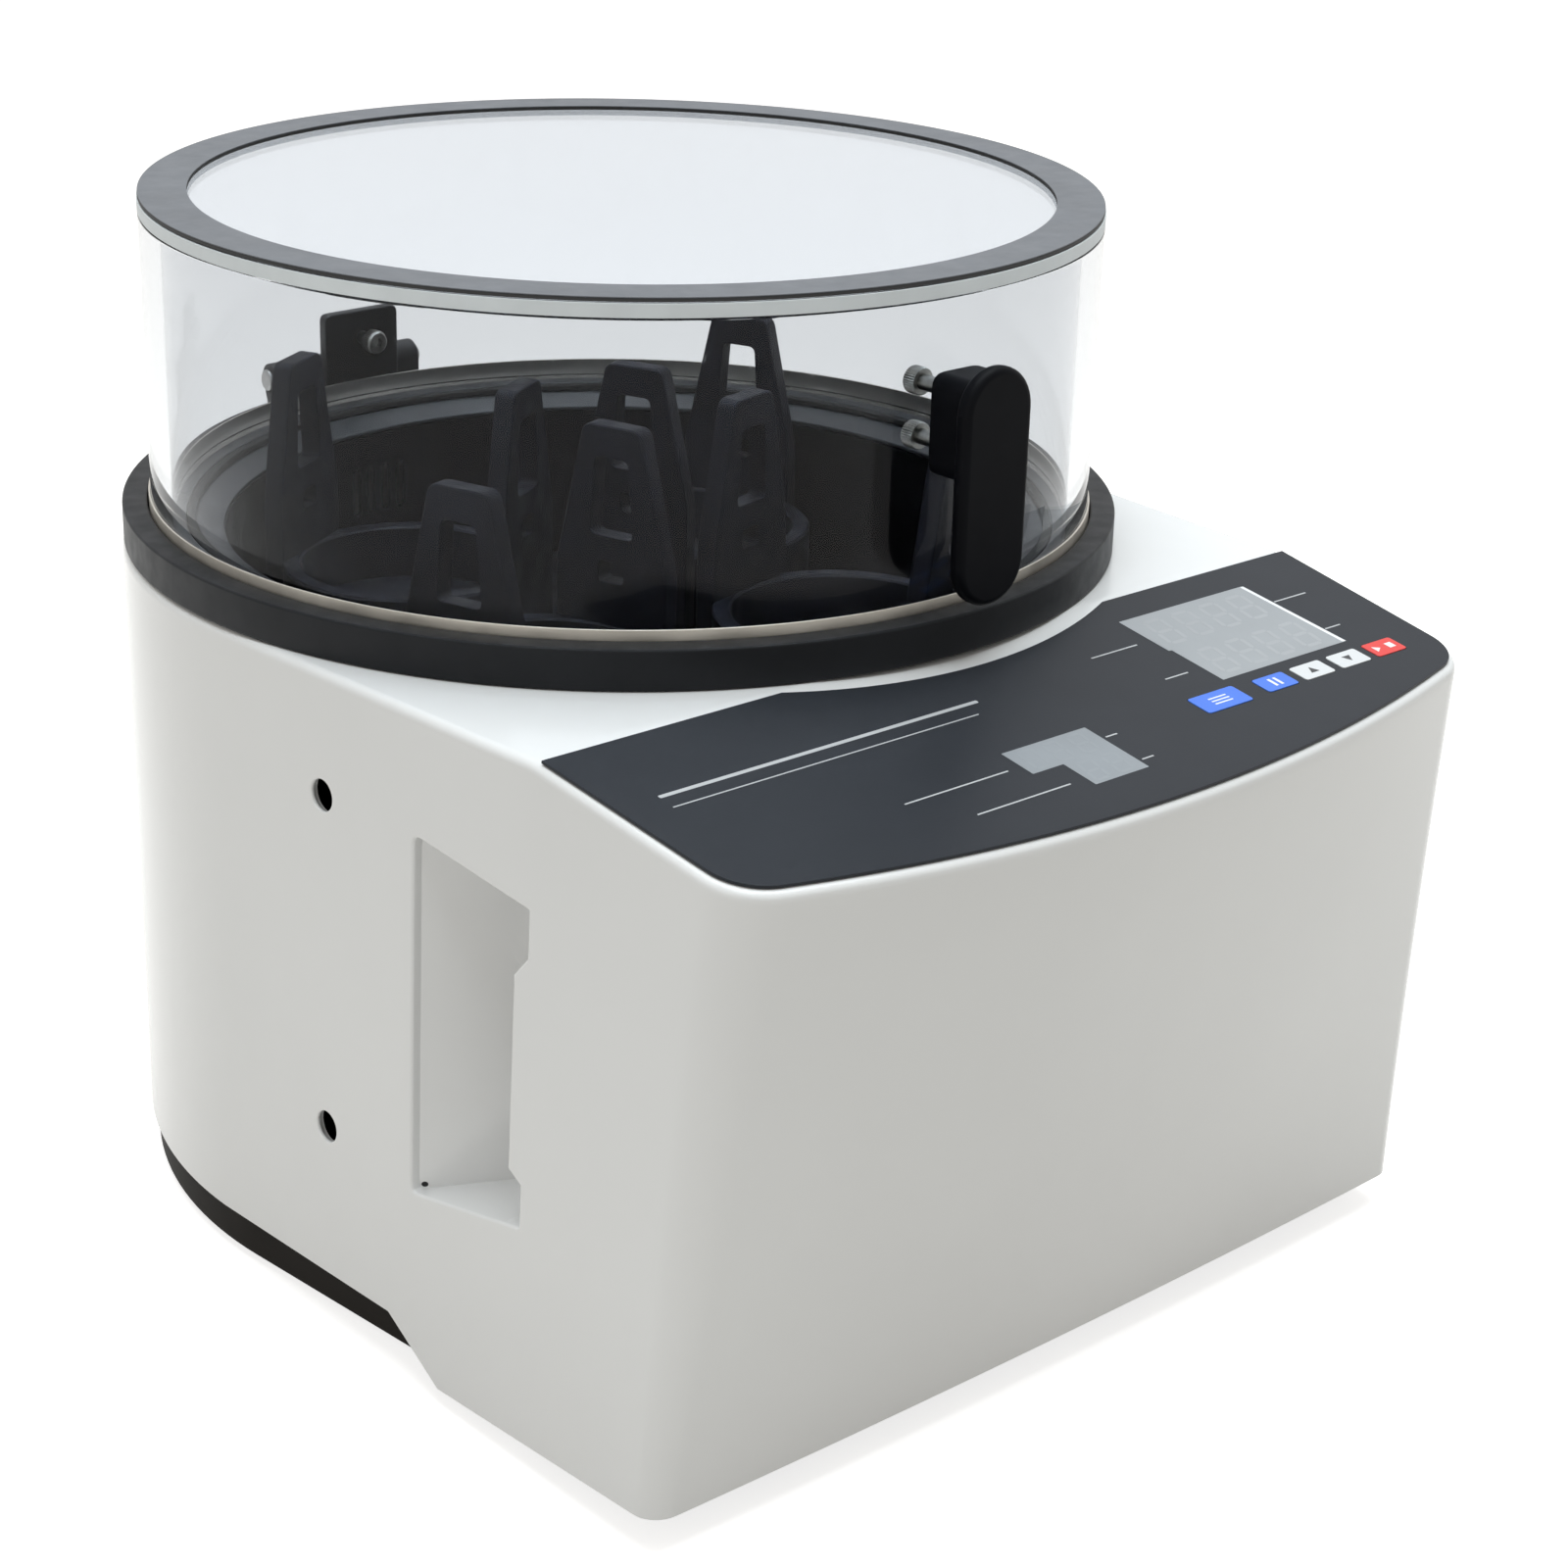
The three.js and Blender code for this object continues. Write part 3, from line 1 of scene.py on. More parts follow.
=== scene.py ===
"""Dresses the planetary ball mill: a white casing with a round back, a clear hinged lid over a dark
chamber, and a sun wheel with four jar holders. Sizes are millimetres about the chamber's axis, with the
floor at height 0 and the front toward -Y, and to_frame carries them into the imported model's frame."""
import math
import bpy
import bmesh
import numpy as np
from mathutils import Matrix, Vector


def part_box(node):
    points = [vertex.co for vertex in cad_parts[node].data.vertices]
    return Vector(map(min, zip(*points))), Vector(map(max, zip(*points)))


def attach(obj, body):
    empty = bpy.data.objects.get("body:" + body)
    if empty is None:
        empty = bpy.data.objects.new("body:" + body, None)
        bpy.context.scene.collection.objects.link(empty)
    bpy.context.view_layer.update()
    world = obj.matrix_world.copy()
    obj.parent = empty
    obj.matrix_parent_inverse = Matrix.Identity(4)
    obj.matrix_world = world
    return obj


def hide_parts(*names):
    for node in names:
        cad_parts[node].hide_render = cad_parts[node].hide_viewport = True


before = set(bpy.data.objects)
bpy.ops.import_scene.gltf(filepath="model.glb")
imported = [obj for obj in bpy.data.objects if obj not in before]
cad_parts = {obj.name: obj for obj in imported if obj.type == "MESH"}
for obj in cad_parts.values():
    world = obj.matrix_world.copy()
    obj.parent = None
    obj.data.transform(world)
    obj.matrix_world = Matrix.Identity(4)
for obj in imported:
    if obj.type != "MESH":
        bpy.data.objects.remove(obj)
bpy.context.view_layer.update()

# Sizes
MM = 0.001
ROUND_STEPS = 192
ROD_STEPS = 64
COLLAR_RADIUS = 170.0
COLLAR_INNER = 161.5
COLLAR_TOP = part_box("collar_ring")[1][2] / MM
COLLAR_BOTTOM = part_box("collar_ring")[0][2] / MM
AXIS_Y = (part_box("collar_ring")[0][1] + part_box("collar_ring")[1][1]) / 2

BODY_RADIUS = 170.5
FRONT_REACH = 267.5
SKIRT_REACH = 232.4
DECK = 227.5
PANEL_BREAK = 160.6
PANEL_SLOPE = math.radians(9)
SIDE_TAPER = math.radians(3)
FRONT_BOW = 575.0
SKIRT_BOW = 4900.0
TOP_CORNER = 20.0
SKIRT_CORNER = 9.0
SHELL_WALL = 3.0
TOP_FILLET = 3.2
REAR_EDGE = 17.0
RISING_EDGE = 21.0
STEP_BACK = 96.0
STEP_FRONT = 123.0
SKIRT_LOW = 5.8
SKIRT_FRONT = 12.6
DECK_OPENING = 150.0
SIDE_HOLE_RADIUS = 5.2
SIDE_HOLE_Y = -62.5
SIDE_HOLE_HEIGHTS = (73.0, 187.0)

GRIP_BACK = 108.0
GRIP_FRONT = 161.5
GRIP_TOP = 188.5
GRIP_BOTTOM = 69.0
GRIP_TOP_FALL = 6.0
GRIP_BOTTOM_RISE = 11.0
GRIP_LIP = 6.0
GRIP_EDGE_DEPTH = 3.2
GRIP_SLOPE_DEPTH = 27.0
GRIP_SLOPE_RUN = 20.0
GRIP_DEPTH = 35.0
GRIP_HOOK = 9.0
GRIP_CORNER_RUN = (14.0, 15.0)
GRIP_LIP_RUN = (17.3, 22.0)
GRIP_WINDOW = (-102, -168, 64, 196)
GRIP_POCKET = (-100, -174)

INLET_HOLE_HALF = (14, 24)
INLET_HEIGHT = 62

FOOT_HEIGHT = 2.0
BASE_TAPER = math.radians(4.9)
BASE_RADIUS = 168.2
BASE_REACH = 208
BASE_CORNER = 12
TRAY_TOP = 16.7
LIP_LEVELS = (16, 30.7)
LIP_SET_BACK = 3.4
FOOT_SIDE = 96
FOOT_ROWS = (("rear", 84), ("front", -168))

LID_RADIUS = 160.4
LID_INNER = 153.5
LID_TOP = 345.3
LID_RING_THICKNESS = 1.5
LID_PLATE = 4.4
LID_RING_INNER = 144.1
LID_RING_OUTER = 160.1
SAWN_EDGE_DEPTH = 0.8
HINGE_AXIS = (0, 177, 245.5)
HINGE_HALF = 34.0
LEAF_HALF = 16.8
EAR_INNER = 17.4
BARREL_RADIUS = 6
BRACKET_RADII = (170.8, 174.8)
GAP = 0.3

VENT_MIDDLE = -9.5
VENT_PITCH = 7
STATION_RADIUS = 80
STATION_BEARINGS = np.radians(122.8) + np.pi / 2 * np.arange(4)
STATION_TURNS = [-3.4, -14.8, -19.1, -9.5]
CUP_RADIUS = 45
CUP_HEIGHT = 26
CUP_FLOOR = 178.9
ARM_PLACE = 42.7
ARM_THICKNESS = 7.5

FILM = 1.3
WINDOW = FILM + 0.05
WINDOW_PRINT = FILM + 0.07
KEY_ROW = -69.4
KEY_BOTTOM = 1.0
KEY_TOP = 1.5
KEY_GAP = 0.35
OPENING_GAP = 0.15
INK = 0.03
NUMERAL_LEAN = math.tan(math.radians(8))
KEYS = {"menu_key": (53.5, 21.4, 10.6), "pause_key": (79.5, 15, 9), "up_key": (97.5, 15, 9),
        "down_key": (115.5, 15, 9), "run_key": (133.5, 15, 9)}


# Frame and meshes

def to_frame(points):
    """Millimetres about the chamber's axis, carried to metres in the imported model's frame."""
    return np.asarray(points, float) * MM + np.array([0.0, AXIS_Y, 0.0])


def grid_faces(rows, columns, close_rows=False, close_columns=False):
    """Quads between neighbouring points of a grid whose points are numbered row by row."""
    row = np.arange(rows if close_rows else rows - 1)
    column = np.arange(columns if close_columns else columns - 1)
    r, c = np.meshgrid(row, column, indexing="ij")
    r2, c2 = (r + 1) % rows, (c + 1) % columns
    corners = [r * columns + c, r * columns + c2, r2 * columns + c2, r2 * columns + c]
    return np.stack(corners, -1).reshape(-1, 4)


def sheet(grid, close_rows=False, close_columns=False, caps=False):
    """A grid of points as (points, faces); caps closes the first and last rows with one face each."""
    rows, columns = grid.shape[:2]
    faces = grid_faces(rows, columns, close_rows, close_columns).tolist()
    if caps:
        faces.append(list(range(columns))[::-1])
        faces.append(list(range((rows - 1) * columns, rows * columns)))
    return grid.reshape(-1, 3), faces


def joined(sheets):
    """Several (points, faces) pairs as one."""
    points, faces, start = [], [], 0
    for some_points, some_faces in sheets:
        points.append(some_points)
        faces.extend([[index + start for index in face] for face in some_faces])
        start += len(some_points)
    return np.concatenate(points), faces


def moved(shape, turn=0.0, shift=(0, 0, 0), basis=None):
    """A shape put through a basis, turned about Z by an angle, and then shifted."""
    points, faces = shape
    if basis is not None:
        points = points @ np.asarray(basis, float)
    cos, sin = math.cos(turn), math.sin(turn)
    spin = np.array([[cos, sin, 0], [-sin, cos, 0], [0, 0, 1]])
    return points @ spin + np.asarray(shift, float), faces


def bare(name, shape, merge=0.01):
    """A mesh object of a shape, merged and faced outwards."""
    points, faces = shape
    mesh = bpy.data.meshes.new(name)
    mesh.from_pydata(to_frame(points).tolist(), [], faces)
    tidy = bmesh.new()
    tidy.from_mesh(mesh)
    bmesh.ops.remove_doubles(tidy, verts=tidy.verts, dist=merge * MM)
    bmesh.ops.dissolve_degenerate(tidy, edges=tidy.edges, dist=merge * MM / 2)
    bmesh.ops.recalc_face_normals(tidy, faces=tidy.faces)
    tidy.to_mesh(mesh)
    tidy.free()
    made = bpy.data.objects.new(name, mesh)
    bpy.context.scene.collection.objects.link(made)
    return made


def piece(name, shape, body, material, stands_for=(), merge=0.01, crease=35, wall=0.0, cuts=(),
          bevel=0.0, thin=None):
    """One finished object: its shape with any cuts taken out and any wall given, shaded by its creases.
    The wall is a tenth as thick where thin says so. Normals are weighted by face area, so flat walls
    shade flat."""
    made = bare(name, shape, merge)
    for cut in cuts:
        knife = bare("knife", cut)
        shaped(made, "BOOLEAN", operation="DIFFERENCE", object=knife)
        bpy.data.objects.remove(knife)
    if wall:
        settings = {"thickness": wall * MM, "offset": -1}
        if thin:
            points = np.array([vertex.co[:] for vertex in made.data.vertices]) - to_frame(np.zeros(3))
            made.vertex_groups.new(name="thin").add(np.flatnonzero(thin(points / MM)).tolist(), 1, "REPLACE")
            settings.update(vertex_group="thin", invert_vertex_group=True, thickness_vertex_group=0.1)
        shaped(made, "SOLIDIFY", **settings)
    if bevel:
        shaped(made, "BEVEL", width=bevel * MM, segments=2, limit_method="ANGLE",
               angle_limit=math.radians(50))
    made.data.polygons.foreach_set("use_smooth", [True] * len(made.data.polygons))
    made.data.set_sharp_from_angle(angle=math.radians(crease))
    shaped(made, "WEIGHTED_NORMAL", keep_sharp=True)
    made.data.materials.clear()
    made.data.materials.append(material)
    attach(made, body)
    if stands_for:
        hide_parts(*stands_for)
    return made


def shaped(made, kind, **settings):
    """Gives an object a modifier with its settings, and applies it to the mesh."""
    modifier = made.modifiers.new(kind.lower(), kind)
    for setting, value in settings.items():
        setattr(modifier, setting, value)
    bpy.context.view_layer.update()
    evaluated = made.evaluated_get(bpy.context.evaluated_depsgraph_get())
    mesh = bpy.data.meshes.new_from_object(evaluated)
    made.modifiers.clear()
    made.data = mesh


# Shapes

def softened(corners, radius, steps=4, closed=True):
    """A 2-D outline with each corner rounded: a quadratic curve between points that lie the radius, or
    nearly half an edge, before and after the corner."""
    corners = np.asarray(corners, float)
    radii = np.broadcast_to(np.asarray(radius, float), len(corners))
    count = len(corners)
    points = []
    for index in range(count):
        corner = corners[index]
        if not closed and index in (0, count - 1) or radii[index] <= 0:
            points.append(corner)
            continue
        before, after = corners[index - 1], corners[(index + 1) % count]
        back, ahead = before - corner, after - corner
        back_length, ahead_length = np.linalg.norm(back), np.linalg.norm(ahead)
        start = corner + back / back_length * min(radii[index], back_length * 0.45)
        end = corner + ahead / ahead_length * min(radii[index], ahead_length * 0.45)
        t = np.linspace(0, 1, steps + 1)[:, None]
        points.extend((1 - t) ** 2 * start + 2 * t * (1 - t) * corner + t ** 2 * end)
    return np.array(points)


def turned(profile, closed=False, steps=ROUND_STEPS, soft=0.0, centre=(0, 0)):
    """A profile of radius and height carried round the Z axis."""
    profile = softened(profile, soft, 3, closed) if soft else np.asarray(profile, float)
    angles = np.linspace(0, 2 * np.pi, steps, endpoint=False)
    radius, height = profile[:, 0][:, None], profile[:, 1][:, None]
    grid = np.stack([
        centre[0] + radius * np.cos(angles), centre[1] + radius * np.sin(angles),
        np.broadcast_to(height, (len(profile), steps)),
    ], -1)
    return sheet(grid, close_rows=closed, close_columns=True)


def ring(inner, outer, low, high, soft=0.4, steps=ROUND_STEPS):
    """A band between two radii and two heights, with rounded corners."""
    return turned([[inner, low], [outer, low], [outer, high], [inner, high]], True, steps, soft)


def disc(radius, low, high, soft=0.4, steps=ROD_STEPS, centre=(0, 0)):
    """A round plate or rod on the Z axis with rounded rims."""
    rim = softened([[0, low], [radius, low], [radius, high], [0, high]], soft, 3, closed=False)
    return turned(rim, False, steps, centre=centre)


def inward(outline):
    """Unit normals of a closed 2-D outline, pointing in: the tangent, from the points either side, turned
    by a quarter turn toward the side on which the area lies."""
    tangent = np.roll(outline, -1, 0) - np.roll(outline, 1, 0)
    tangent /= np.maximum(np.linalg.norm(tangent, axis=1, keepdims=True), 1e-9)
    x, y = outline.T
    area = np.sum(x * np.roll(y, -1) - np.roll(x, -1) * y)
    return np.stack([-tangent[:, 1], tangent[:, 0]], -1) * np.sign(area)


def plate(outline, low, high, edge=0.5, steps=3):
    """A flat plate over an outline. Its rows are the outline drawn in by a quarter circle's sagitta at the
    lower rim, the straight wall, and the same at the upper rim."""
    outline = np.asarray(outline, float)
    normal = inward(outline)
    phi = np.linspace(0, np.pi / 2, steps + 1)
    draw = np.concatenate([edge * (1 - np.sin(phi)), edge * (1 - np.cos(phi))])
    height = np.concatenate([low + edge * (1 - np.cos(phi)), high - edge * (1 - np.sin(phi))])
    flat = outline[None] + normal[None] * draw[:, None, None]
    levels = np.broadcast_to(height[:, None, None], flat.shape[:2] + (1,))
    return sheet(np.concatenate([flat, levels], -1), close_columns=True, caps=True)


def rectangle(x0, x1, y0, y1, radius=0.0, steps=4):
    """Four corners, rounded where a radius is given."""
    corners = [[x0, y0], [x1, y0], [x1, y1], [x0, y1]]
    return softened(corners, radius, steps) if radius else np.array(corners, float)


def spoke(angle):
    """Unit vectors in the plane at the angles given."""
    return np.stack([np.cos(angle), np.sin(angle)], -1)


def unit(vector):
    """A vector brought to length one."""
    return vector / np.linalg.norm(vector)


def shares(count):
    """Even steps from just after 0 up to 1."""
    return np.linspace(0, 1, count + 1)[1:]


def stadium(half_width, low, high, steps=24):
    """Two half circles joined by straight sides, upright in its plane."""
    top = half_width * spoke(np.linspace(0, np.pi, steps + 1)) + [0, high - half_width]
    return np.concatenate([top, np.array([0, low + high]) - top])


FACING_FRONT = [[1, 0, 0], [0, 0, 1], [0, -1, 0]]
ALONG_X = [[0, 1, 0], [0, 0, 1], [1, 0, 0]]


def facing_front(outline, low, high, edge, steps=3):
    """A plate drawn in X and Z, between two distances toward the front."""
    return moved(plate(outline, low, high, edge, steps), basis=FACING_FRONT)


# Finishes
COAT_ROUGHNESS = 0.08
SCUFF_FINENESS = 2.3
GRAIN_HEIGHT = 0.00006
POLISH = 0.02


def fill(node, values):
    """Writes values on a node's sockets, by name."""
    for socket, value in values.items():
        node.inputs[socket].default_value = value


def blank(name):
    """A new material with its nodes, its links and its shader."""
    material = bpy.data.materials.new(name)
    material.use_nodes = True
    nodes = material.node_tree.nodes
    return material, nodes, material.node_tree.links, nodes["Principled BSDF"]


def noise(nodes, links, where, size, detail):
    """Noise on the coordinates that a socket gives."""
    made = nodes.new("ShaderNodeTexNoise")
    fill(made, {"Scale": size, "Detail": detail})
    links.new(where, made.inputs["Vector"])
    return made.outputs["Fac"]


def remapped(nodes, links, value, low, high, to_low, to_high):
    """A value carried from one span to another and held at its ends."""
    made = nodes.new("ShaderNodeMapRange")
    fill(made, {"From Min": low, "From Max": high, "To Min": to_low, "To Max": to_high})
    links.new(value, made.inputs["Value"])
    return made


def finish(name, colour, roughness, metallic=0.0, mottle=0.0, mottle_size=60.0, grain=0.0, grain_size=900.0,
           coat=0.0, scuff=0.0, shine=0.5):
    """A surface whose colour drifts a little (mottle), whose roughness follows a second noise (scuff), and
    whose relief is fine grain, all on Object coordinates."""
    material, nodes, links, shader = blank(name)
    fill(shader, {"Base Color": (*colour, 1), "Roughness": roughness, "Metallic": metallic,
                  "Specular IOR Level": shine, "Coat Weight": coat, "Coat Roughness": COAT_ROUGHNESS})
    where = nodes.new("ShaderNodeTexCoord").outputs["Object"]
    if mottle:
        ramp = nodes.new("ShaderNodeValToRGB")
        for stop, place, change in zip(ramp.color_ramp.elements, (0.3, 0.7), (1 - mottle, 1 + mottle)):
            stop.position = place
            stop.color = (*[min(1, channel * change) for channel in colour], 1)
        links.new(noise(nodes, links, where, mottle_size, 4), ramp.inputs["Fac"])
        links.new(ramp.outputs["Color"], shader.inputs["Base Color"])
    if scuff:
        rub = noise(nodes, links, where, mottle_size * SCUFF_FINENESS, 6)
        spread = remapped(nodes, links, rub, 0.35, 0.75, roughness, min(1, roughness + scuff))
        links.new(spread.outputs["Result"], shader.inputs["Roughness"])
    if grain:
        bump = nodes.new("ShaderNodeBump")
        fill(bump, {"Strength": grain, "Distance": GRAIN_HEIGHT})
        links.new(noise(nodes, links, where, grain_size, 3), bump.inputs["Height"])
        links.new(bump.outputs["Normal"], shader.inputs["Normal"])
    return material


def clear_acrylic(name, colour, bend):
    """Clear acrylic whose fine scratches are thin bands of a stretched noise that raise the roughness, more
    so toward the lid's top."""
    material, nodes, links, shader = blank(name)
    fill(shader, {"Base Color": (*colour, 1), "IOR": bend, "Transmission Weight": 1.0})
    where = nodes.new("ShaderNodeTexCoord").outputs["Object"]
    stretch = nodes.new("ShaderNodeMapping")
    fill(stretch, {"Scale": (1, 1, 0.25)})
    links.new(where, stretch.inputs["Vector"])
    height = nodes.new("ShaderNodeSeparateXYZ")
    links.new(where, height.inputs["Vector"])
    reach = remapped(nodes, links, height.outputs["Z"], 0.26, 0.34, POLISH, 0.18)
    lines = noise(nodes, links, stretch.outputs["Vector"], 700, 5)
    spread = remapped(nodes, links, lines, 0.64, 0.76, POLISH, 1)
    links.new(reach.outputs["Result"], spread.inputs["To Max"])
    links.new(spread.outputs["Result"], shader.inputs["Roughness"])
    return material


white_paint = finish("gloss_white_paint", (0.80, 0.803, 0.80), 0.2, mottle=0.02, mottle_size=9,
                     grain=0.05, grain_size=420, coat=0.1, shine=0.35)
base_paint = finish("base_black_paint", (0.011, 0.009, 0.007), 0.55, mottle=0.15, grain=0.1, shine=0.05)
collar_paint = finish("collar_black_paint", (0.011, 0.012, 0.014), 0.42, mottle=0.12, scuff=0.1, grain=0.15,
                      shine=0.15)
lid_ring_finish = finish("lid_ring_grey", (0.100, 0.106, 0.118), 0.5, mottle=0.1, scuff=0.1, grain=0.2)
handle_finish = finish("handle_black", (0.003, 0.0033, 0.0045), 0.42, mottle=0.15, scuff=0.06, grain=0.1,
                       shine=0.05)
hinge_finish = finish("hinge_black", (0.014, 0.014, 0.016), 0.4, mottle=0.15, scuff=0.15, grain=0.2)
rim_metal = finish("turned_rim_metal", (0.048, 0.051, 0.056), 0.32, 0.2, mottle=0.12, mottle_size=40,
                   scuff=0.15)
foot_metal = finish("lid_foot_metal", (0.66, 0.62, 0.55), 0.3, 0.7, mottle=0.15, mottle_size=22, scuff=0.2)
bright_steel = finish("bright_steel", (0.46, 0.455, 0.44), 0.32, 1.0, mottle=0.08, scuff=0.15)
screw_steel = finish("knurled_screw_steel", (0.30, 0.30, 0.28), 0.34, 1.0, mottle=0.3, mottle_size=300,
                     grain=1.0, grain_size=700)
cut_steel = finish("cut_steel", (0.45, 0.46, 0.47), 0.35, 1.0, mottle=0.1, scuff=0.2)
chamber_finish = finish("chamber_dark", (0.006, 0.006, 0.008), 0.4, mottle=0.3, mottle_size=25, scuff=0.3,
                        shine=0.12)
wheel_finish = finish("wheel_dark", (0.006, 0.006, 0.009), 0.45, mottle=0.3, mottle_size=30, scuff=0.25,
                      shine=0.15)
holder_finish = finish("holder_dark", (0.008, 0.009, 0.015), 0.42, mottle=0.3, mottle_size=45, scuff=0.25,
                       shine=0.18)
# Black rubber for the seal; the same black is also the painted shade on the lid ring's side.
seal_rubber = finish("seal_rubber", (0.012, 0.012, 0.012), 0.7, grain=0.4)
# Black rubber for the feet and the belt; the same black is also the painted shade of the small grip holes.
foot_rubber = finish("foot_rubber", (0.012, 0.012, 0.012), 0.85, mottle=0.2, grain=0.5)
panel_film = finish("panel_film", (0.026, 0.029, 0.035), 0.36, mottle=0.03, grain=0.25, grain_size=1400,
                    shine=0.10)
window_film = finish("window_grey", (0.31, 0.328, 0.345), 0.3, mottle=0.04, mottle_size=50, grain=0.1)
dim_window_film = finish("dim_window_grey", (0.245, 0.268, 0.29), 0.3, mottle=0.04, mottle_size=50, grain=0.1)
digit_grey = finish("digit_grey", (0.345, 0.36, 0.375), 0.35, mottle=0.03)
dim_digit_grey = finish("dim_digit_grey", (0.258, 0.281, 0.303), 0.35, mottle=0.03)
blue_key = finish("key_blue", (0.045, 0.17, 0.72), 0.35, mottle=0.04, grain=0.2)
white_key = finish("key_white", (0.66, 0.675, 0.685), 0.35, mottle=0.02, grain=0.2)
red_key = finish("key_red", (0.70, 0.035, 0.03), 0.35, mottle=0.04, grain=0.2)
mark_white = finish("mark_white", (0.78, 0.79, 0.80), 0.45, mottle=0.03)
mark_grey = finish("mark_grey", (0.46, 0.47, 0.48), 0.45, mottle=0.03)
mark_dark = finish("mark_dark", (0.03, 0.032, 0.035), 0.45, mottle=0.03)
inlet_plastic = finish("inlet_black", (0.014, 0.014, 0.015), 0.5, mottle=0.1, grain=0.3)
switch_plastic = finish("switch_red", (0.42, 0.02, 0.02), 0.25, mottle=0.05, grain=0.1)
board_green = finish("board_green", (0.02, 0.12, 0.05), 0.5, mottle=0.15)
wall_acrylic = clear_acrylic("wall_acrylic", (0.71, 0.725, 0.745), 1.18)
plate_acrylic = clear_acrylic("plate_acrylic", (0.83, 0.875, 0.93), 1.3)
sawn_edge = finish("sawn_acrylic_edge", (0.70, 0.745, 0.765), 0.5, mottle=0.05, grain=0.2)


# Casing

def corner_arc(radius, front, taper, corner, bow):
    """Where a plan's corner arc lies: the direction out of its tapered side, the arc's centre, on a line
    along the side and as far from the bow's centre as the bow's radius less the corner's, and the bearing
    at which it meets the bow."""
    out = np.stack([np.cos(taper), -np.sin(taper)], -1)
    ahead = np.stack([-np.sin(taper), -np.cos(taper)], -1)
    base = out * (radius - corner)[..., None]
    offset = base - np.stack([np.zeros_like(bow), bow - front], -1)
    half = (offset * ahead).sum(-1)
    run = -half + np.sqrt(half ** 2 - (offset ** 2).sum(-1) + (bow - corner) ** 2)
    centre = base + ahead * run[..., None]
    return out, centre, np.arctan2(centre[..., 1] - (bow - front), centre[..., 0])


def casing_section(height):
    """Numbers that describe the casing's plan at each height, drawn evenly from the skirt's to the
    panel's: taper, front, corner and bow, and the place of the corner's arc."""
    high = DECK - math.tan(PANEL_SLOPE) * (FRONT_REACH - PANEL_BREAK)
    share = (height - SKIRT_FRONT) / (high - SKIRT_FRONT)
    taper = SIDE_TAPER * share
    front = SKIRT_REACH + (FRONT_REACH - SKIRT_REACH) * share
    corner = SKIRT_CORNER + (TOP_CORNER - SKIRT_CORNER) * share
    bow = 1 / (1 / SKIRT_BOW + (1 / FRONT_BOW - 1 / SKIRT_BOW) * share)
    return taper, front, corner, bow, *corner_arc(BODY_RADIUS, front, taper, corner, bow)


def side_x(y, height):
    """Distance of the casing's side from the middle, where it is tangent to the rear circle and tapers."""
    taper = casing_section(np.asarray(height, float))[0]
    return (BODY_RADIUS + y * np.sin(taper)) / np.cos(taper)


def steps_between(knots, counts):
    """Values or points that pass through every knot, with a count of even steps between each two."""
    parts = [np.linspace(a, b, n, endpoint=False) for a, b, n in zip(knots, knots[1:], counts)]
    return np.concatenate(parts + [[knots[-1]]])


REAR, SIDE_START, SIDE, SIDE_END, CORNER, FRONT = range(6)
HOLE_MARGIN = 9.0
SIDE_KNOTS = [-20, SIDE_HOLE_Y + HOLE_MARGIN, SIDE_HOLE_Y - HOLE_MARGIN, -STEP_BACK, GRIP_WINDOW[0],
              -STEP_FRONT, GRIP_WINDOW[1], -185]
SIDE_COUNTS = [7, 18, 6, 2, 7, 15, 4]
ARC_SHARES = steps_between([0, 0.052, 1], [4, 56])
SIDE_LINES = steps_between(SIDE_KNOTS, SIDE_COUNTS)
LEVELS = steps_between([45, 64, 82, 178, 196], [5, 18, 30, 18])
LOWER_ROWS = 10
MOUTH_FILLET = 1.0
HOLE_FILLET = 0.6
HOLE_DEPTH = 1.0


def casing_half(height):
    """Right half of the casing's plan, from the rear middle to the front middle, for a height at each of
    its columns: rear arc, side line, corner arc and bowed front."""
    columns = casing_columns()
    kind, share = columns[:, 0], columns[:, 1]
    taper, front, corner, bow, out, centre, to_front = casing_section(height)
    turn = np.pi / 2 - share * (np.pi / 2 + taper)
    arc = BODY_RADIUS * spoke(turn)
    start = -BODY_RADIUS * np.sin(taper)
    end = (centre + out * corner[..., None])[..., 1]
    y = np.select([kind == SIDE_START, kind == SIDE, kind == SIDE_END], [
        start + (SIDE_LINES[0] - start) * share, share,
        SIDE_LINES[-1] + (end - SIDE_LINES[-1]) * share], 0.0)
    side = np.stack([(BODY_RADIUS + y * np.sin(taper)) / np.cos(taper), y], -1)
    angle = -taper + (to_front + taper) * share
    bend = centre + corner[..., None] * spoke(angle)
    sweep = to_front + (-np.pi / 2 - to_front) * share
    face = np.stack([bow * np.cos(sweep), bow - front + bow * np.sin(sweep)], -1)
    kind = kind[:, None]
    return np.select([kind == REAR, kind <= SIDE_END, kind == CORNER], [arc, side, bend], face)


def casing_columns():
    """Each column's stretch of the plan and its share along it, or its Y on the straight side."""
    stretches = [(REAR, ARC_SHARES), (SIDE_START, shares(4)), (SIDE, SIDE_LINES[1:]), (SIDE_END, shares(10)),
                 (CORNER, shares(12)), (FRONT, shares(30))]
    return np.concatenate([np.stack([np.full(len(s), kind), s], -1) for kind, s in stretches])


def panel_height(y):
    """Height of the casing's top at a Y: the flat deck, and the slope ahead of the break."""
    return DECK + np.minimum(0, math.tan(PANEL_SLOPE) * (y + PANEL_BREAK))


def lower_edge(y):
    """Height of the casing's lower edge at a Y: nearly level at the rear, a step down, and the skirt."""
    return np.interp(-y, [0, STEP_BACK, STEP_FRONT, SKIRT_REACH],
                     [REAR_EDGE, RISING_EDGE, SKIRT_LOW, SKIRT_FRONT])


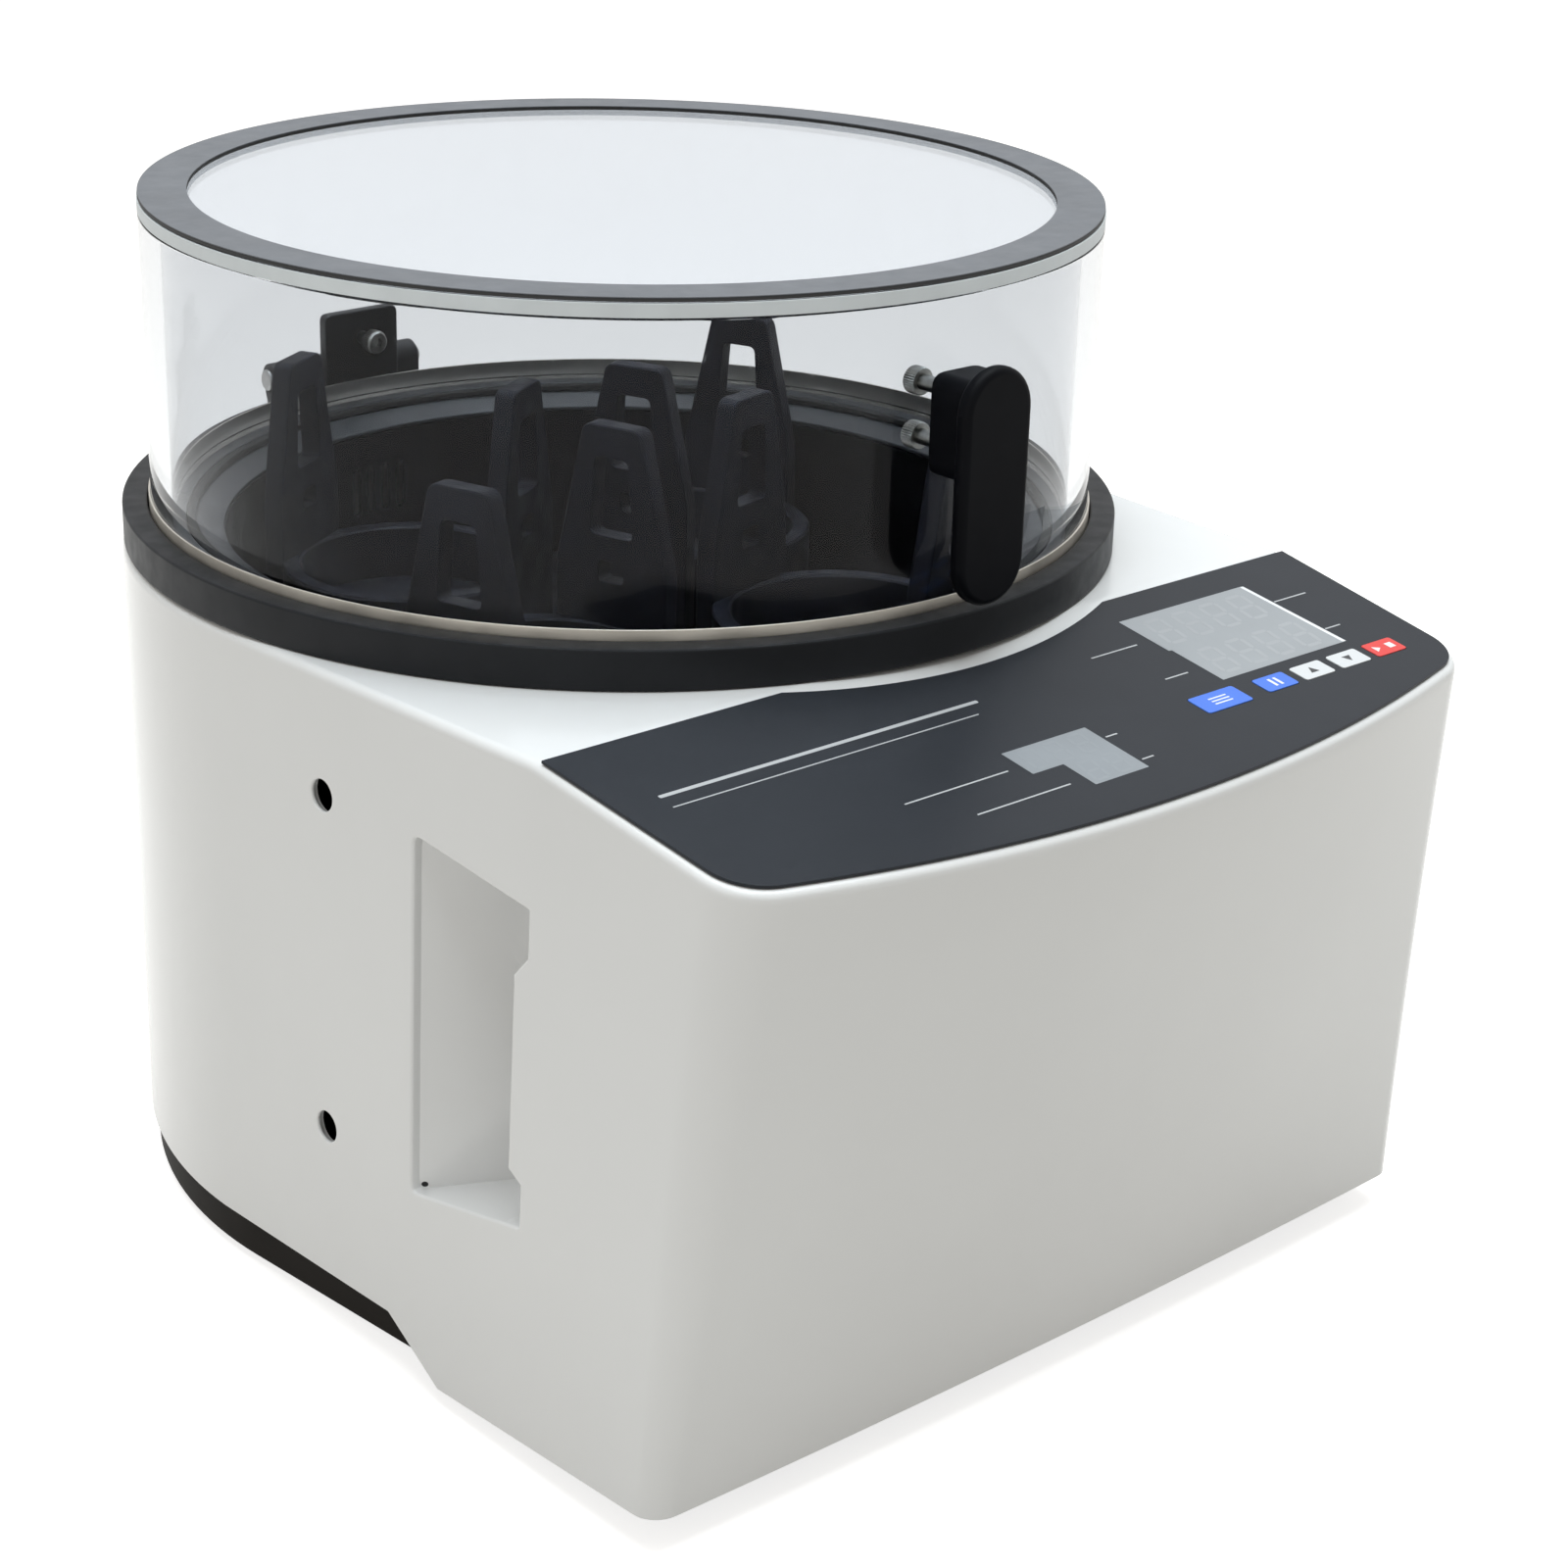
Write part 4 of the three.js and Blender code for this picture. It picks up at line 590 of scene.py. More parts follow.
def casing_side_grid():
    """Rows of heights from the lower edge to under the top fillet, over the columns of the plan. The top's
    height is found by repeating, because the plan and the height depend on each other."""
    count = len(casing_columns())
    low = lower_edge(casing_half(np.full(count, SKIRT_FRONT))[:, 1])
    top = np.full(count, DECK)
    for _ in range(4):
        top = panel_height(casing_half(top)[:, 1])
    under = top - TOP_FILLET
    lower = low + (LEVELS[0] - low) * np.linspace(0, 1, LOWER_ROWS + 1)[:-1, None]
    middle = np.broadcast_to(LEVELS[:, None], (len(LEVELS), count))
    upper = LEVELS[-1] + (under - LEVELS[-1]) * shares(4)[:, None]
    heights = np.concatenate([lower, middle, upper])
    grid = np.stack([np.concatenate([casing_half(row), row[:, None]], -1) for row in heights])
    return grid, top


def casing_top_grid(rim, top):
    """Rows over the fillet and the top: the rim drawn in along a quarter circle, then along lines to the
    deck's opening, with a row on the crease between deck and slope."""
    mirror_rim = np.concatenate([rim, (rim * [-1, 1])[-2:0:-1]])
    normal = inward(mirror_rim)[:len(rim)]
    normal[0], normal[-1] = [0, -1], [0, 1]
    phi = np.linspace(0, np.pi / 2, 6)[1:, None, None]
    flat = rim + normal * TOP_FILLET * (1 - np.cos(phi))
    edge = flat[-1]
    height = panel_height(edge[:, 1]) - TOP_FILLET * (1 - np.sin(phi[..., 0]))
    fillet = np.concatenate([flat, height[..., None]], -1)
    inner = edge / np.linalg.norm(edge, axis=1, keepdims=True) * DECK_OPENING
    crease = np.clip((-PANEL_BREAK - edge[:, 1]) / (inner[:, 1] - edge[:, 1] + 1e-9), 0, 1)
    crease = np.where(edge[:, 1] < -PANEL_BREAK, crease, 0)[:, None]
    reach = [crease * s for s in shares(10)] + [crease + (1 - crease) * s for s in shares(8)]
    rows = [edge + (inner - edge) * s for s in reach]
    return np.concatenate([fillet] + [np.concatenate([r, panel_height(r[:, 1:])], -1)[None] for r in rows])


def between(values, low, high):
    """Which values lie from low to high, within a hundredth of a millimetre."""
    return (values >= low - 0.01) & (values <= high + 0.01)


def lattice_window(y_high, y_low, z_low, z_high):
    """Rows and columns of the side grid that a window between lattice lines takes out."""
    kind, y = casing_columns().T
    line = np.flatnonzero((kind == SIDE) & between(y, y_low, y_high))
    level = np.flatnonzero(between(LEVELS, z_low, z_high)) + LOWER_ROWS
    return level[0], level[-1], line[0], line[-1]


def border(y_high, y_low, z_low, z_high):
    """The window's border in Y and Z, from its rear lower corner along the bottom and round."""
    y = SIDE_LINES[between(SIDE_LINES, y_low, y_high)]
    z = LEVELS[between(LEVELS, z_low, z_high)]
    bottom = np.stack([y, np.full(len(y), z_low)], -1)
    front = np.stack([np.full(len(z), y_low), z], -1)
    top = np.stack([y[::-1], np.full(len(y), z_high)], -1)
    rear = np.stack([np.full(len(z), y_high), z[::-1]], -1)
    return np.concatenate([bottom[:-1], front[:-1], top[:-1], rear[:-1]])


def on_side(loop, depth, side):
    """Points in Y and Z put onto the casing's side at a depth below it."""
    y, z = loop[:, 0], loop[:, 1]
    return np.stack([side * (side_x(y, z) - depth), y, z], -1)


def hole_rows(frame_loop, hole_loop, side, fillet, extra):
    """A patch from a square border to a hole: rows drawn evenly across, a quarter circle over the hole's
    rim, and the rows that follow inside, given as (loop, depth)."""
    outward = -inward(hole_loop)
    spread = hole_loop + outward * fillet
    rows = [(frame_loop + (spread - frame_loop) * s, 0.0) for s in np.linspace(0, 1, 5)]
    for phi in np.linspace(0, np.pi / 2, 5)[1:]:
        rows.append((hole_loop + outward * fillet * (1 - np.sin(phi)), fillet * (1 - np.cos(phi))))
    rows += extra
    grid = np.stack([on_side(loop, depth, side) for loop, depth in rows])
    return sheet(grid[:, ::side], close_columns=True)


def grip_mouth():
    """The grip's mouth in Y and Z, with the step back of its front lip, on as many points as the border of
    its window has, each at about the height of the border's point that it is joined to. Averaging each
    point with its neighbours rounds the rear corners."""
    low, high = GRIP_BOTTOM + GRIP_BOTTOM_RISE, GRIP_TOP - GRIP_TOP_FALL
    back, front, lip = -GRIP_BACK, -GRIP_FRONT, -GRIP_FRONT + GRIP_LIP
    corners = np.array([
        [back, GRIP_BOTTOM], [front, low], [front, low + GRIP_CORNER_RUN[0]], [lip, low + GRIP_LIP_RUN[0]],
        [lip, high - GRIP_LIP_RUN[1]], [front, high - GRIP_CORNER_RUN[1]], [front, high], [back, GRIP_TOP],
        [back, GRIP_BOTTOM],
    ])
    counts = [37, 7, 1, 20, 2, 7, 36, 66]
    mouth = steps_between(corners, counts)[:-1]
    number = np.arange(len(mouth))
    kept = (number >= counts[0] - 1) & (number <= sum(counts[:6]) + 1)
    for _ in range(3):
        eased = (np.roll(mouth, 1, 0) + 2 * mouth + np.roll(mouth, -1, 0)) / 4
        mouth = np.where(kept[:, None], mouth, eased)
    return mouth


def grip_depth(y):
    """Depth of the grip's floor at a Y: a shallow rear edge, a slope, and a nearly level floor."""
    return np.interp(-y, [GRIP_BACK, GRIP_BACK + GRIP_SLOPE_RUN, GRIP_FRONT + GRIP_HOOK],
                     [GRIP_EDGE_DEPTH, GRIP_SLOPE_DEPTH, GRIP_DEPTH])


def grip_patch(side):
    """The side round a grip and the pocket behind its mouth: straight in through the wall, forward behind
    the front lip, down to the floor's depth, and along lines to the floor's middle."""
    mouth = grip_mouth()
    hooked = mouth.copy()
    hooked[-mouth[:, 0] - GRIP_FRONT + GRIP_LIP + 1 > 0, 0] = -GRIP_FRONT - GRIP_HOOK
    middle = np.array([-(GRIP_BACK + GRIP_FRONT) / 2, (GRIP_TOP + GRIP_BOTTOM) / 2])
    extra = [(mouth, SHELL_WALL), (hooked, SHELL_WALL), (hooked, grip_depth(hooked[:, 0]))]
    for share in shares(8):
        loop = hooked + (middle - hooked) * share
        extra.append((loop, grip_depth(loop[:, 0])))
    return hole_rows(border(*GRIP_WINDOW), mouth, side, MOUTH_FILLET, extra)


def hole_window(height):
    """The lattice window round a side hole."""
    return (SIDE_HOLE_Y + HOLE_MARGIN, SIDE_HOLE_Y - HOLE_MARGIN, height - HOLE_MARGIN, height + HOLE_MARGIN)


def round_patch(height, side):
    """The side round one of its holes, with the hole's wall."""
    frame_loop = border(*hole_window(height))
    middle = [SIDE_HOLE_Y, height]
    offset = frame_loop - middle
    circle = offset / np.linalg.norm(offset, axis=1, keepdims=True) * SIDE_HOLE_RADIUS + middle
    return hole_rows(frame_loop, circle, side, HOLE_FILLET, [(circle, HOLE_DEPTH)])


def in_grips(points):
    """Whether points lie in the pockets behind the grips' mouths."""
    x, y, z = points.T
    rear, front = GRIP_POCKET
    low, high = GRIP_WINDOW[2:]
    return (y < rear) & (y > front) & (z > low) & (z < high) & (side_x(y, z) - np.abs(x) > 0.8)


def casing_side_faces(grid):
    """Faces of the side grid without those that the holes, grips and rear inlet take out."""
    rows, columns = grid.shape[:2]
    keep = np.ones((rows - 1, columns - 1), bool)
    for window in [GRIP_WINDOW] + [hole_window(height) for height in SIDE_HOLE_HEIGHTS]:
        r0, r1, c0, c1 = lattice_window(*window)
        keep[r0:r1, c0:c1] = False
    x, y, z = np.moveaxis((grid[1:, 1:] + grid[:-1, :-1]) / 2, -1, 0)
    half_width, half_height = INLET_HOLE_HALF
    inlet = (np.abs(x) < half_width) & (y > 0) & (np.abs(z - INLET_HEIGHT) < half_height)
    return grid_faces(rows, columns)[(keep & ~inlet).ravel()].tolist()


def casing():
    """The skin: for each half the side, the top, the grip and the holes, given a wall inward."""
    side_grid, top = casing_side_grid()
    top_grid = casing_top_grid(side_grid[-1, :, :2], top)
    sheets = []
    for side in (1, -1):
        flip = np.array([side, 1, 1])
        sheets.append(((side_grid * flip).reshape(-1, 3), casing_side_faces(side_grid)))
        sheets.append(sheet(np.concatenate([side_grid[-1:], top_grid]) * flip))
        sheets.append(grip_patch(side))
        sheets += [round_patch(height, side) for height in SIDE_HOLE_HEIGHTS]
    piece("casing_skin", joined(sheets), "casing", white_paint, ["body_shell"],
          merge=0.02, crease=30, wall=SHELL_WALL, thin=in_grips)
    # Dark ovals in the grips are painted shade that stands for their small holes.
    piece("grip_hole_shades", joined([grip_hole_shade(side) for side in (1, -1)]), "casing", foot_rubber)


def grip_hole_shade(side):
    """A small dark oval of painted shade for a hole in the lower rear corner of a grip, lying on the slope of
    its floor.
    """
    oval = [1.1, 0.9] * spoke(np.linspace(0, 2 * np.pi, 24, endpoint=False))
    y, z = -GRIP_BACK - 1.1, GRIP_BOTTOM + 1.7
    slope = math.atan2(GRIP_SLOPE_DEPTH - GRIP_EDGE_DEPTH, GRIP_SLOPE_RUN)
    along = [-side * math.sin(slope), -math.cos(slope), 0]
    out = [side * math.cos(slope), -math.sin(slope), 0]
    place = [side * (side_x(y, z) - grip_depth(y)), y, z]
    return moved(plate(oval, -0.2, 0.04, 0.01), shift=place, basis=[along, [0, 0, 1], out])


# Base, collar, chamber

def plan(*sizes):
    """A closed plan: a half circle at the rear, sides tangent to it that draw in by a taper, corner arcs
    and a bowed front. The sizes are the rear's radius, the front's reach, the taper, and the corner's and
    the bow's radius."""
    radius, front, taper, corner, bow = np.array(sizes, float)
    centre, to_front = corner_arc(radius, front, taper, corner, bow)[1:]
    right = np.concatenate([
        radius * spoke(np.linspace(np.pi / 2, -taper, 49)),
        centre + corner * spoke(np.linspace(-taper, to_front, 13)),
        [0, bow - front] + bow * spoke(np.linspace(to_front, -np.pi / 2, 25)[1:]),
    ])
    return np.concatenate([right, (right * [-1, 1])[-2:0:-1]])


def base():
    """The tray: a foot on the casing's plan, a lip drawn in that stands inside it, and four round feet."""
    low = plate(plan(BASE_RADIUS, BASE_REACH, BASE_TAPER, BASE_CORNER, SKIRT_BOW), FOOT_HEIGHT + GAP,
                TRAY_TOP, 1.2)
    lip = plate(plan(BASE_RADIUS - LIP_SET_BACK, BASE_REACH - LIP_SET_BACK, BASE_TAPER,
                     BASE_CORNER - LIP_SET_BACK, SKIRT_BOW - LIP_SET_BACK), *LIP_LEVELS, 0.6)
    piece("base", joined([low, lip]), "casing", base_paint, ["base_tray"])
    foot = softened([[0, 0], [13.2, 0], [14, 0.8], [14, FOOT_HEIGHT], [0, FOOT_HEIGHT]], 0.3, 3, closed=False)
    for side, name in ((-1, "left"), (1, "right")):
        for row, y in FOOT_ROWS:
            pad = turned(foot, steps=ROD_STEPS, centre=(side * FOOT_SIDE, y))
            piece(f"{row}_{name}_foot_pad", pad, "casing", foot_rubber,
                  [f"{row}_{name}_foot"])


def collar():
    """The collar, the stepped rim inside it and the seal in the rim's groove, all turned."""
    piece("collar", ring(COLLAR_INNER, COLLAR_RADIUS, COLLAR_BOTTOM, COLLAR_TOP, 0.8), "casing",
          collar_paint, ["collar_ring"])
    top = COLLAR_TOP
    profile = [[136.3, 230.1], [161.2, 230.1], [161.2, top - 3.3], [149, top - 3.3], [149, top - 6],
               [145.2, top - 6], [136.3, top - 9.5]]
    piece("rim", turned(profile, True, soft=0.4), "casing", rim_metal, ["chamber_rim"])
    piece("seal", ring(145.5, 148.7, top - 5.7, top - 3.5, 0.5, 160), "casing", seal_rubber,
          ["lid_seal"])


def bowl():
    """The chamber's bowl, a closed profile with a round fillet at its floor, and four slots cut through
    its rear wall."""
    phi = np.linspace(-np.pi / 2, 0, 7)
    inner = [131, 158] + 5 * spoke(phi)
    profile = np.concatenate([
        [[26.5, 151], [131, 151], [136, 152.6], [138, 156], [138, 227.8], [161.2, 227.8], [161.2, 229.8],
         [136, 229.8]], inner[::-1], [[26.5, 153]],
    ])
    slots = []
    for index in range(4):
        x = VENT_MIDDLE + VENT_PITCH * (index - 1.5)
        slots.append(facing_front(stadium(2, 199.5, 217.5, 8) + [x, 0], -150, -120, 0.1))
    piece("bowl", turned(profile, True), "casing", chamber_finish, ["chamber_bowl"],
          cuts=slots)


# Lid

def lid():
    """The clear wall and top, the sawn edge of the top, the metal band round the foot, and the grey ring over
    a thin black band of painted shade on its side, each a turned band or disc."""
    wall_top = LID_TOP - LID_RING_THICKNESS - GAP - LID_PLATE
    piece("lid_side", ring(LID_INNER, LID_RADIUS, 238, wall_top - GAP, 0.5), "lid", wall_acrylic,
          ["lid_wall"])
    top = disc(LID_RADIUS - SAWN_EDGE_DEPTH - 0.1, wall_top, wall_top + LID_PLATE, 0.2, ROUND_STEPS)
    piece("lid_plate", top, "lid", plate_acrylic, ["lid_top"])
    sawn = ring(LID_RADIUS - SAWN_EDGE_DEPTH, LID_RADIUS, wall_top, wall_top + LID_PLATE, 0.2)
    piece("lid_plate_edge", sawn, "lid", sawn_edge, ["lid_top"])
    piece("lid_foot_band", ring(LID_RADIUS + 0.05, LID_RADIUS + 0.7, 238.2, 244.2, 0.15), "lid",
          foot_metal)
    bottom = LID_TOP - LID_RING_THICKNESS
    piece("lid_band", ring(LID_RING_INNER, LID_RING_OUTER, bottom + 1.1, LID_TOP, 0.2), "lid",
          lid_ring_finish, ["lid_ring"])
    # A thin black band under the grey ring: painted shade on the ring's side, not a separate gasket.
    piece("lid_band_painted_shade", ring(LID_RING_INNER, LID_RING_OUTER, bottom, bottom + 1.05, 0.1), "lid",
          seal_rubber, ["lid_ring"])


def handle():
    """A plate with round ends and softened edges, on a block that reaches back to the lid's wall."""
    front = facing_front(stadium(14, 246, 321), 174.2, 180.2, 2.4, 6)
    block = facing_front(rectangle(-11, 11, 284.8, 316.8, 5), 160.8, 175, 0.6)
    piece("handle", joined([front, block]), "lid", handle_finish, ["lid_handle"])


def knurled_screw(name, facing, height, reach, neck, stands_for):
    """A screw along Y whose head stands inside the lid, off its wall by a neck. The head's rim rises and
    falls 36 times a turn, and a hexagon is sunk in its face."""
    angles = np.linspace(0, 2 * np.pi, 144, endpoint=False)
    knurl = 1 + 0.035 * np.cos(36 * angles)
    hexagon = 1.9 * np.cos(np.pi / 6) / np.cos(np.mod(angles, np.pi / 3) - np.pi / 6)
    face = LID_INNER - 2 * GAP - neck
    rows = [(0, face - 2.4), (hexagon, face - 2.4), (hexagon, face - 5), (3.6, face - 5),
            (4.15 * knurl, face - 4.5), (4.3 * knurl, face - 4), (4.3 * knurl, face - 0.6),
            (4.1 * knurl, face), (2.5, face), (2.5, reach), (0, reach)]
    grid = np.stack([
        np.stack([radius * np.cos(angles), radius * np.sin(angles), np.full(len(angles), along)], -1)
        for radius, along in rows])
    basis = np.array(FACING_FRONT, float) * -facing
    shape = moved(sheet(grid, close_columns=True), shift=(0, 0, height), basis=basis)
    piece(name, shape, "lid", screw_steel, [stands_for], merge=0.004)


def hinge():
    """A leaf, its web and its barrel on the lid, a bracket curved to the collar with two ears, and a pin."""
    leaf = facing_front(rectangle(-LEAF_HALF, LEAF_HALF, 241.6, 270.6, 3), -165.3, -160.7, 0.7)
    web = facing_front(rectangle(-LEAF_HALF, LEAF_HALF, 242, 249, 0.5), -177, -163, 0.3)

    def on_axis(shape):
        """A shape made round Z, laid along X on the hinge's axis."""
        return moved(shape, shift=HINGE_AXIS, basis=ALONG_X)

    barrel = on_axis(disc(BARREL_RADIUS, -LEAF_HALF, LEAF_HALF, 0.8))
    piece("leaf", joined([leaf, web, barrel]), "lid", hinge_finish, ["hinge_leaf"])
    inner, outer = BRACKET_RADII
    angle = np.arcsin(HINGE_HALF * 2 / (inner + outer))
    arc = np.linspace(np.pi / 2 - angle, np.pi / 2 + angle, 33)
    sheets = [plate(np.concatenate([inner * spoke(arc), outer * spoke(arc[::-1])]), 207, 238.3, 0.6)]
    for low, high in ((-HINGE_HALF, -EAR_INNER), (EAR_INNER, HINGE_HALF)):
        ear = softened([[171, 245.5], [171, 224], [174.8, 224], [183, 245.5]], 0.6, 3)
        sheets.append(moved(plate(ear, low, high, 0.6), basis=ALONG_X))
        sheets.append(on_axis(disc(BARREL_RADIUS, low, high, 0.8)))
    piece("bracket", joined(sheets), "casing", hinge_finish, ["hinge_bracket"])
    pin = softened([[0, -36.1], [3.2, -36.1], [4, -35.4], [4, -34.3], [2.5, -34.3], [2.5, 34.3], [4, 34.3],
                    [4, 35.4], [3.2, 36.1], [0, 36.1]], 0.2, 2, closed=False)
    piece("pin", on_axis(turned(pin, steps=48)), "casing", bright_steel, ["hinge_pin"])


# Sun wheel and jar holders

def wheel():
    """A turned disc with a hub, and a stud end under each station."""
    hub = softened([[10.3, 167.5], [127, 167.5], [127, 176.5], [24, 176.5], [24, 183.5], [0, 183.5]],
                   [0, 0.6, 0.9, 0.5, 0.8, 0], 3, closed=False)
    studs = [disc(5, 157, 168, 0.3, 32, centre=47.5 * spoke(bearing)) for bearing in STATION_BEARINGS]
    piece("wheel", joined([turned(hub)] + studs), "sun_wheel", wheel_finish,
          ["sun_wheel"])


def holder(number, angle, turn):
    """A turned cup with two arms on opposite sides. Each arm is a tapering plate with rounded shoulders, a
    tapering window and a small slot under it."""
    slope = math.atan2(10, 49)
    shoulder = [8, 91] + 4 * spoke(np.linspace(slope, np.pi / 2, 7))
    half = np.concatenate([[[22, 0], [22, 46]], shoulder])
    outline = np.concatenate([half, (half * [-1, 1])[::-1]])
    window = softened([[-8.5, 57], [8.5, 57], [6.5, 84], [-6.5, 84]], 2.5, 4)
    slot = softened([[-5, 41], [5, 41], [5, 48], [-5, 48]], 2, 4)
    place = (STATION_RADIUS * math.cos(angle), STATION_RADIUS * math.sin(angle), CUP_FLOOR)
    body, stands_for = f"station_{number}", [f"jar_holder_{number}"]

    def laid(shape):
        """A shape drawn with its arms on Y, turned to the station's bearing and set on its place."""
        return moved(shape, angle + turn - np.pi / 2, place)

    low_rim, high = CUP_HEIGHT - 0.8, CUP_HEIGHT
    cup = turned([[0, 0], [44.4, 0], [CUP_RADIUS, 0.6], [CUP_RADIUS, low_rim], [44.2, high], [39.2, high],
                  [38.5, 25.3], [38.5, 7], [0, 7]], False, 96)
    piece(f"holder_{number}_cup", laid(cup), body, holder_finish, stands_for)
    arms = [laid(facing_front(outline, at - ARM_THICKNESS / 2, at + ARM_THICKNESS / 2, 0.8))
            for at in (-ARM_PLACE, ARM_PLACE)]
    cuts = [laid(facing_front(hole, -52, 52, 0.01)) for hole in (window, slot)]
    piece(f"holder_{number}_arms", joined(arms), body, holder_finish, cuts=cuts, bevel=0.6)


# Control panel

def on_panel(outline, low, high, edge=0.005):
    """A plate drawn flat, with Y as the distance down from the break counted negative, laid on the slope."""
    cos, sin = math.cos(PANEL_SLOPE), math.sin(PANEL_SLOPE)
    return moved(plate(outline, low, high, edge), shift=(0, -PANEL_BREAK, DECK),
                 basis=[[1, 0, 0], [0, cos, sin], [0, -sin, cos]])


def overlay_outline():
    """The overlay's edge: the casing's plan drawn in by 2.5 mm on the slope, and an arc round the collar."""
    start = -PANEL_BREAK - 2.1
    whole = plan(BODY_RADIUS - 2.5, FRONT_REACH - 2.5, SIDE_TAPER, TOP_CORNER - 2.5, FRONT_BOW - 2.5)
    right = whole[:len(whole) // 2 + 1]
    below = right[right[:, 1] < start]
    last = right[right[:, 1] >= start][-1]
    share = (start - last[1]) / (below[0][1] - last[1])
    right = np.concatenate([[last + (below[0] - last) * share], below])
    radius = BODY_RADIUS + 6.5
    turn = math.acos(-start / radius)
    arc = np.linspace(-np.pi / 2 - turn, -np.pi / 2 + turn, 49)
    outline = np.concatenate([right, (right * [-1, 1])[-2::-1], radius * spoke(arc)])
    return (outline + [0, PANEL_BREAK]) / [1, math.cos(PANEL_SLOPE)]


def key_outline(name, gap, radius):
    """A rounded rectangle at a key's place, drawn in by the gap."""
    place, width, depth = KEYS[name]
    x, y = width / 2 - gap, depth / 2 - gap
    return rectangle(-x, x, -y, y, radius) + [place, KEY_ROW]


def numeral(x, y, width, height, bar):
    """An unlit seven-segment numeral that leans: each bar is a hexagon along an edge of two stacked
    squares, whose corners are numbered in pairs from the bottom."""
    corners = np.array([[0, 0], [1, 0], [0, 0.5], [1, 0.5], [0, 1], [1, 1]]) * [width, height]
    sheets = []
    for start, end in corners[[[4, 5], [5, 3], [3, 1], [0, 1], [2, 0], [4, 2], [2, 3]]]:
        along = unit(end - start)
        across = np.array([-along[1], along[0]]) * bar / 2
        start, end = start + along * bar * 0.2, end - along * bar * 0.2
        near, far = start + along * bar / 2, end - along * bar / 2
        outline = np.array([start, near - across, far - across, end, far + across, near + across])
        outline[:, 0] += outline[:, 1] * NUMERAL_LEAN
        sheets.append(on_panel(outline + [x, y], WINDOW, WINDOW_PRINT))
    return sheets


def rules():
    """Plain printed lines: two long ones at the left and short ones beside the windows."""
    lines = [(-143, -18.5, -34.3, 1.5), (-143, -24, -40.6, 0.5), (36, 57, -30, 0.6), (47.5, 58, -51.4, 0.6),
             (125, 141, -29, 0.6), (125.5, 133, -51, 0.6), (1.5, 6.5, -69.6, 0.6), (1.5, 6.5, -84.8, 0.6),
             (-82.5, -41, -70.7, 0.6), (-67.5, -29.5, -85.2, 0.6)]
    sheets = [on_panel(rectangle(x0, x1, y - height / 2, y + height / 2, height * 0.3, 2), FILM, FILM + INK)
              for x0, x1, y, height in lines]
    piece("panel_rules", joined(sheets), "casing", mark_grey)


def panel():
    """The overlay with its key openings, the two windows, their unlit numerals and the printed lines."""
    openings = [on_panel(key_outline(name, OPENING_GAP, 1.4), -1, 3, 0.01) for name in KEYS]
    piece("overlay", on_panel(overlay_outline(), GAP, FILM, 0.15), "casing", panel_film,
          ["panel_overlay"], crease=50, cuts=openings)
    jog = 1.2
    main = softened([[63.6, -15.6], [124, -15.6], [124 + jog, -60.4], [63.6 + jog, -60.4], [63.6 + jog, -38],
                     [63.6, -38]], 0.2, 1)
    piece("main_window", on_panel(main, FILM, WINDOW, 0.01), "casing", window_film,
          ["speed_display", "time_display"])
    edge = [[122.4, -16], [123.9, -16], [125, -60.2], [123.5, -60.2]]
    piece("main_window_edge", on_panel(edge, WINDOW, WINDOW_PRINT), "casing", mark_white)
    step = softened([[-35.5, -62.1], [0, -62.1], [0, -89.1], [-22.8, -89.1], [-22.8, -75.6], [-35.5, -75.6]],
                    0.2, 1)
    piece("temperature_window", on_panel(step, FILM, WINDOW, 0.01), "casing", dim_window_film,
          ["temperature_display"])
    numerals = []
    for row in (0, 1):
        for place in range(4):
            numerals += numeral(68.5 + 13.2 * place + jog * row, -34.6 - 22.4 * row, 7.6, 14.6, 1.7)
    piece("numerals", joined(numerals), "casing", digit_grey)
    numerals = []
    for x, y in ((-32.2, -74), (-21.8, -74), (-11.4, -74), (-20.6, -87.4), (-10.4, -87.4)):
        numerals += numeral(x, y, 5.6, 10, 1.2)
    piece("temperature_numerals", joined(numerals), "casing", dim_digit_grey)
    rules()


def key(name, paint, ink, shapes):
    """A printed key with rounded corners, and its marks as thin slabs on it. It rides on its own body."""
    cap = on_panel(key_outline(name, KEY_GAP, 1.2), KEY_BOTTOM, KEY_TOP, 0.15)
    piece(name + "_cap", cap, name, paint, [name])
    centre = [KEYS[name][0], KEY_ROW]
    sheets = [on_panel(np.array(shape, float) + centre, KEY_TOP, KEY_TOP + INK) for shape in shapes]
    piece(name + "_mark", joined(sheets), name, ink)


def bars(*spans):
    """Upright rectangles, each from its two X and two Y limits."""
    return [[[x0, y0], [x1, y0], [x1, y1], [x0, y1]] for x0, x1, y0, y1 in spans]


def keys():
    """The five keys: three bars, a pause sign, two arrowheads, and an arrowhead with a square."""
    up = [[[-1.9, -1.5], [1.9, -1.5], [0, 1.8]]]
    down = [[[-1.9, 1.5], [0, -1.8], [1.9, 1.5]]]
    rows = bars((-4, 4, 1.3, 1.9), (-4, 4, -0.3, 0.3), (-4, 4, -1.9, -1.3))
    run = [[[-4.6, -1.7], [-1.8, 0], [-4.6, 1.7]]] + bars((1.6, 4.6, -1.5, 1.5))
    pause = bars((-1.9, -0.7, -2.2, 2.2), (0.7, 1.9, -2.2, 2.2))
    key("menu_key", blue_key, mark_white, rows)
    key("pause_key", blue_key, mark_white, pause)
    key("up_key", white_key, mark_dark, up)
    key("down_key", white_key, mark_dark, down)
    key("run_key", red_key, mark_white, run)


# Power inlet

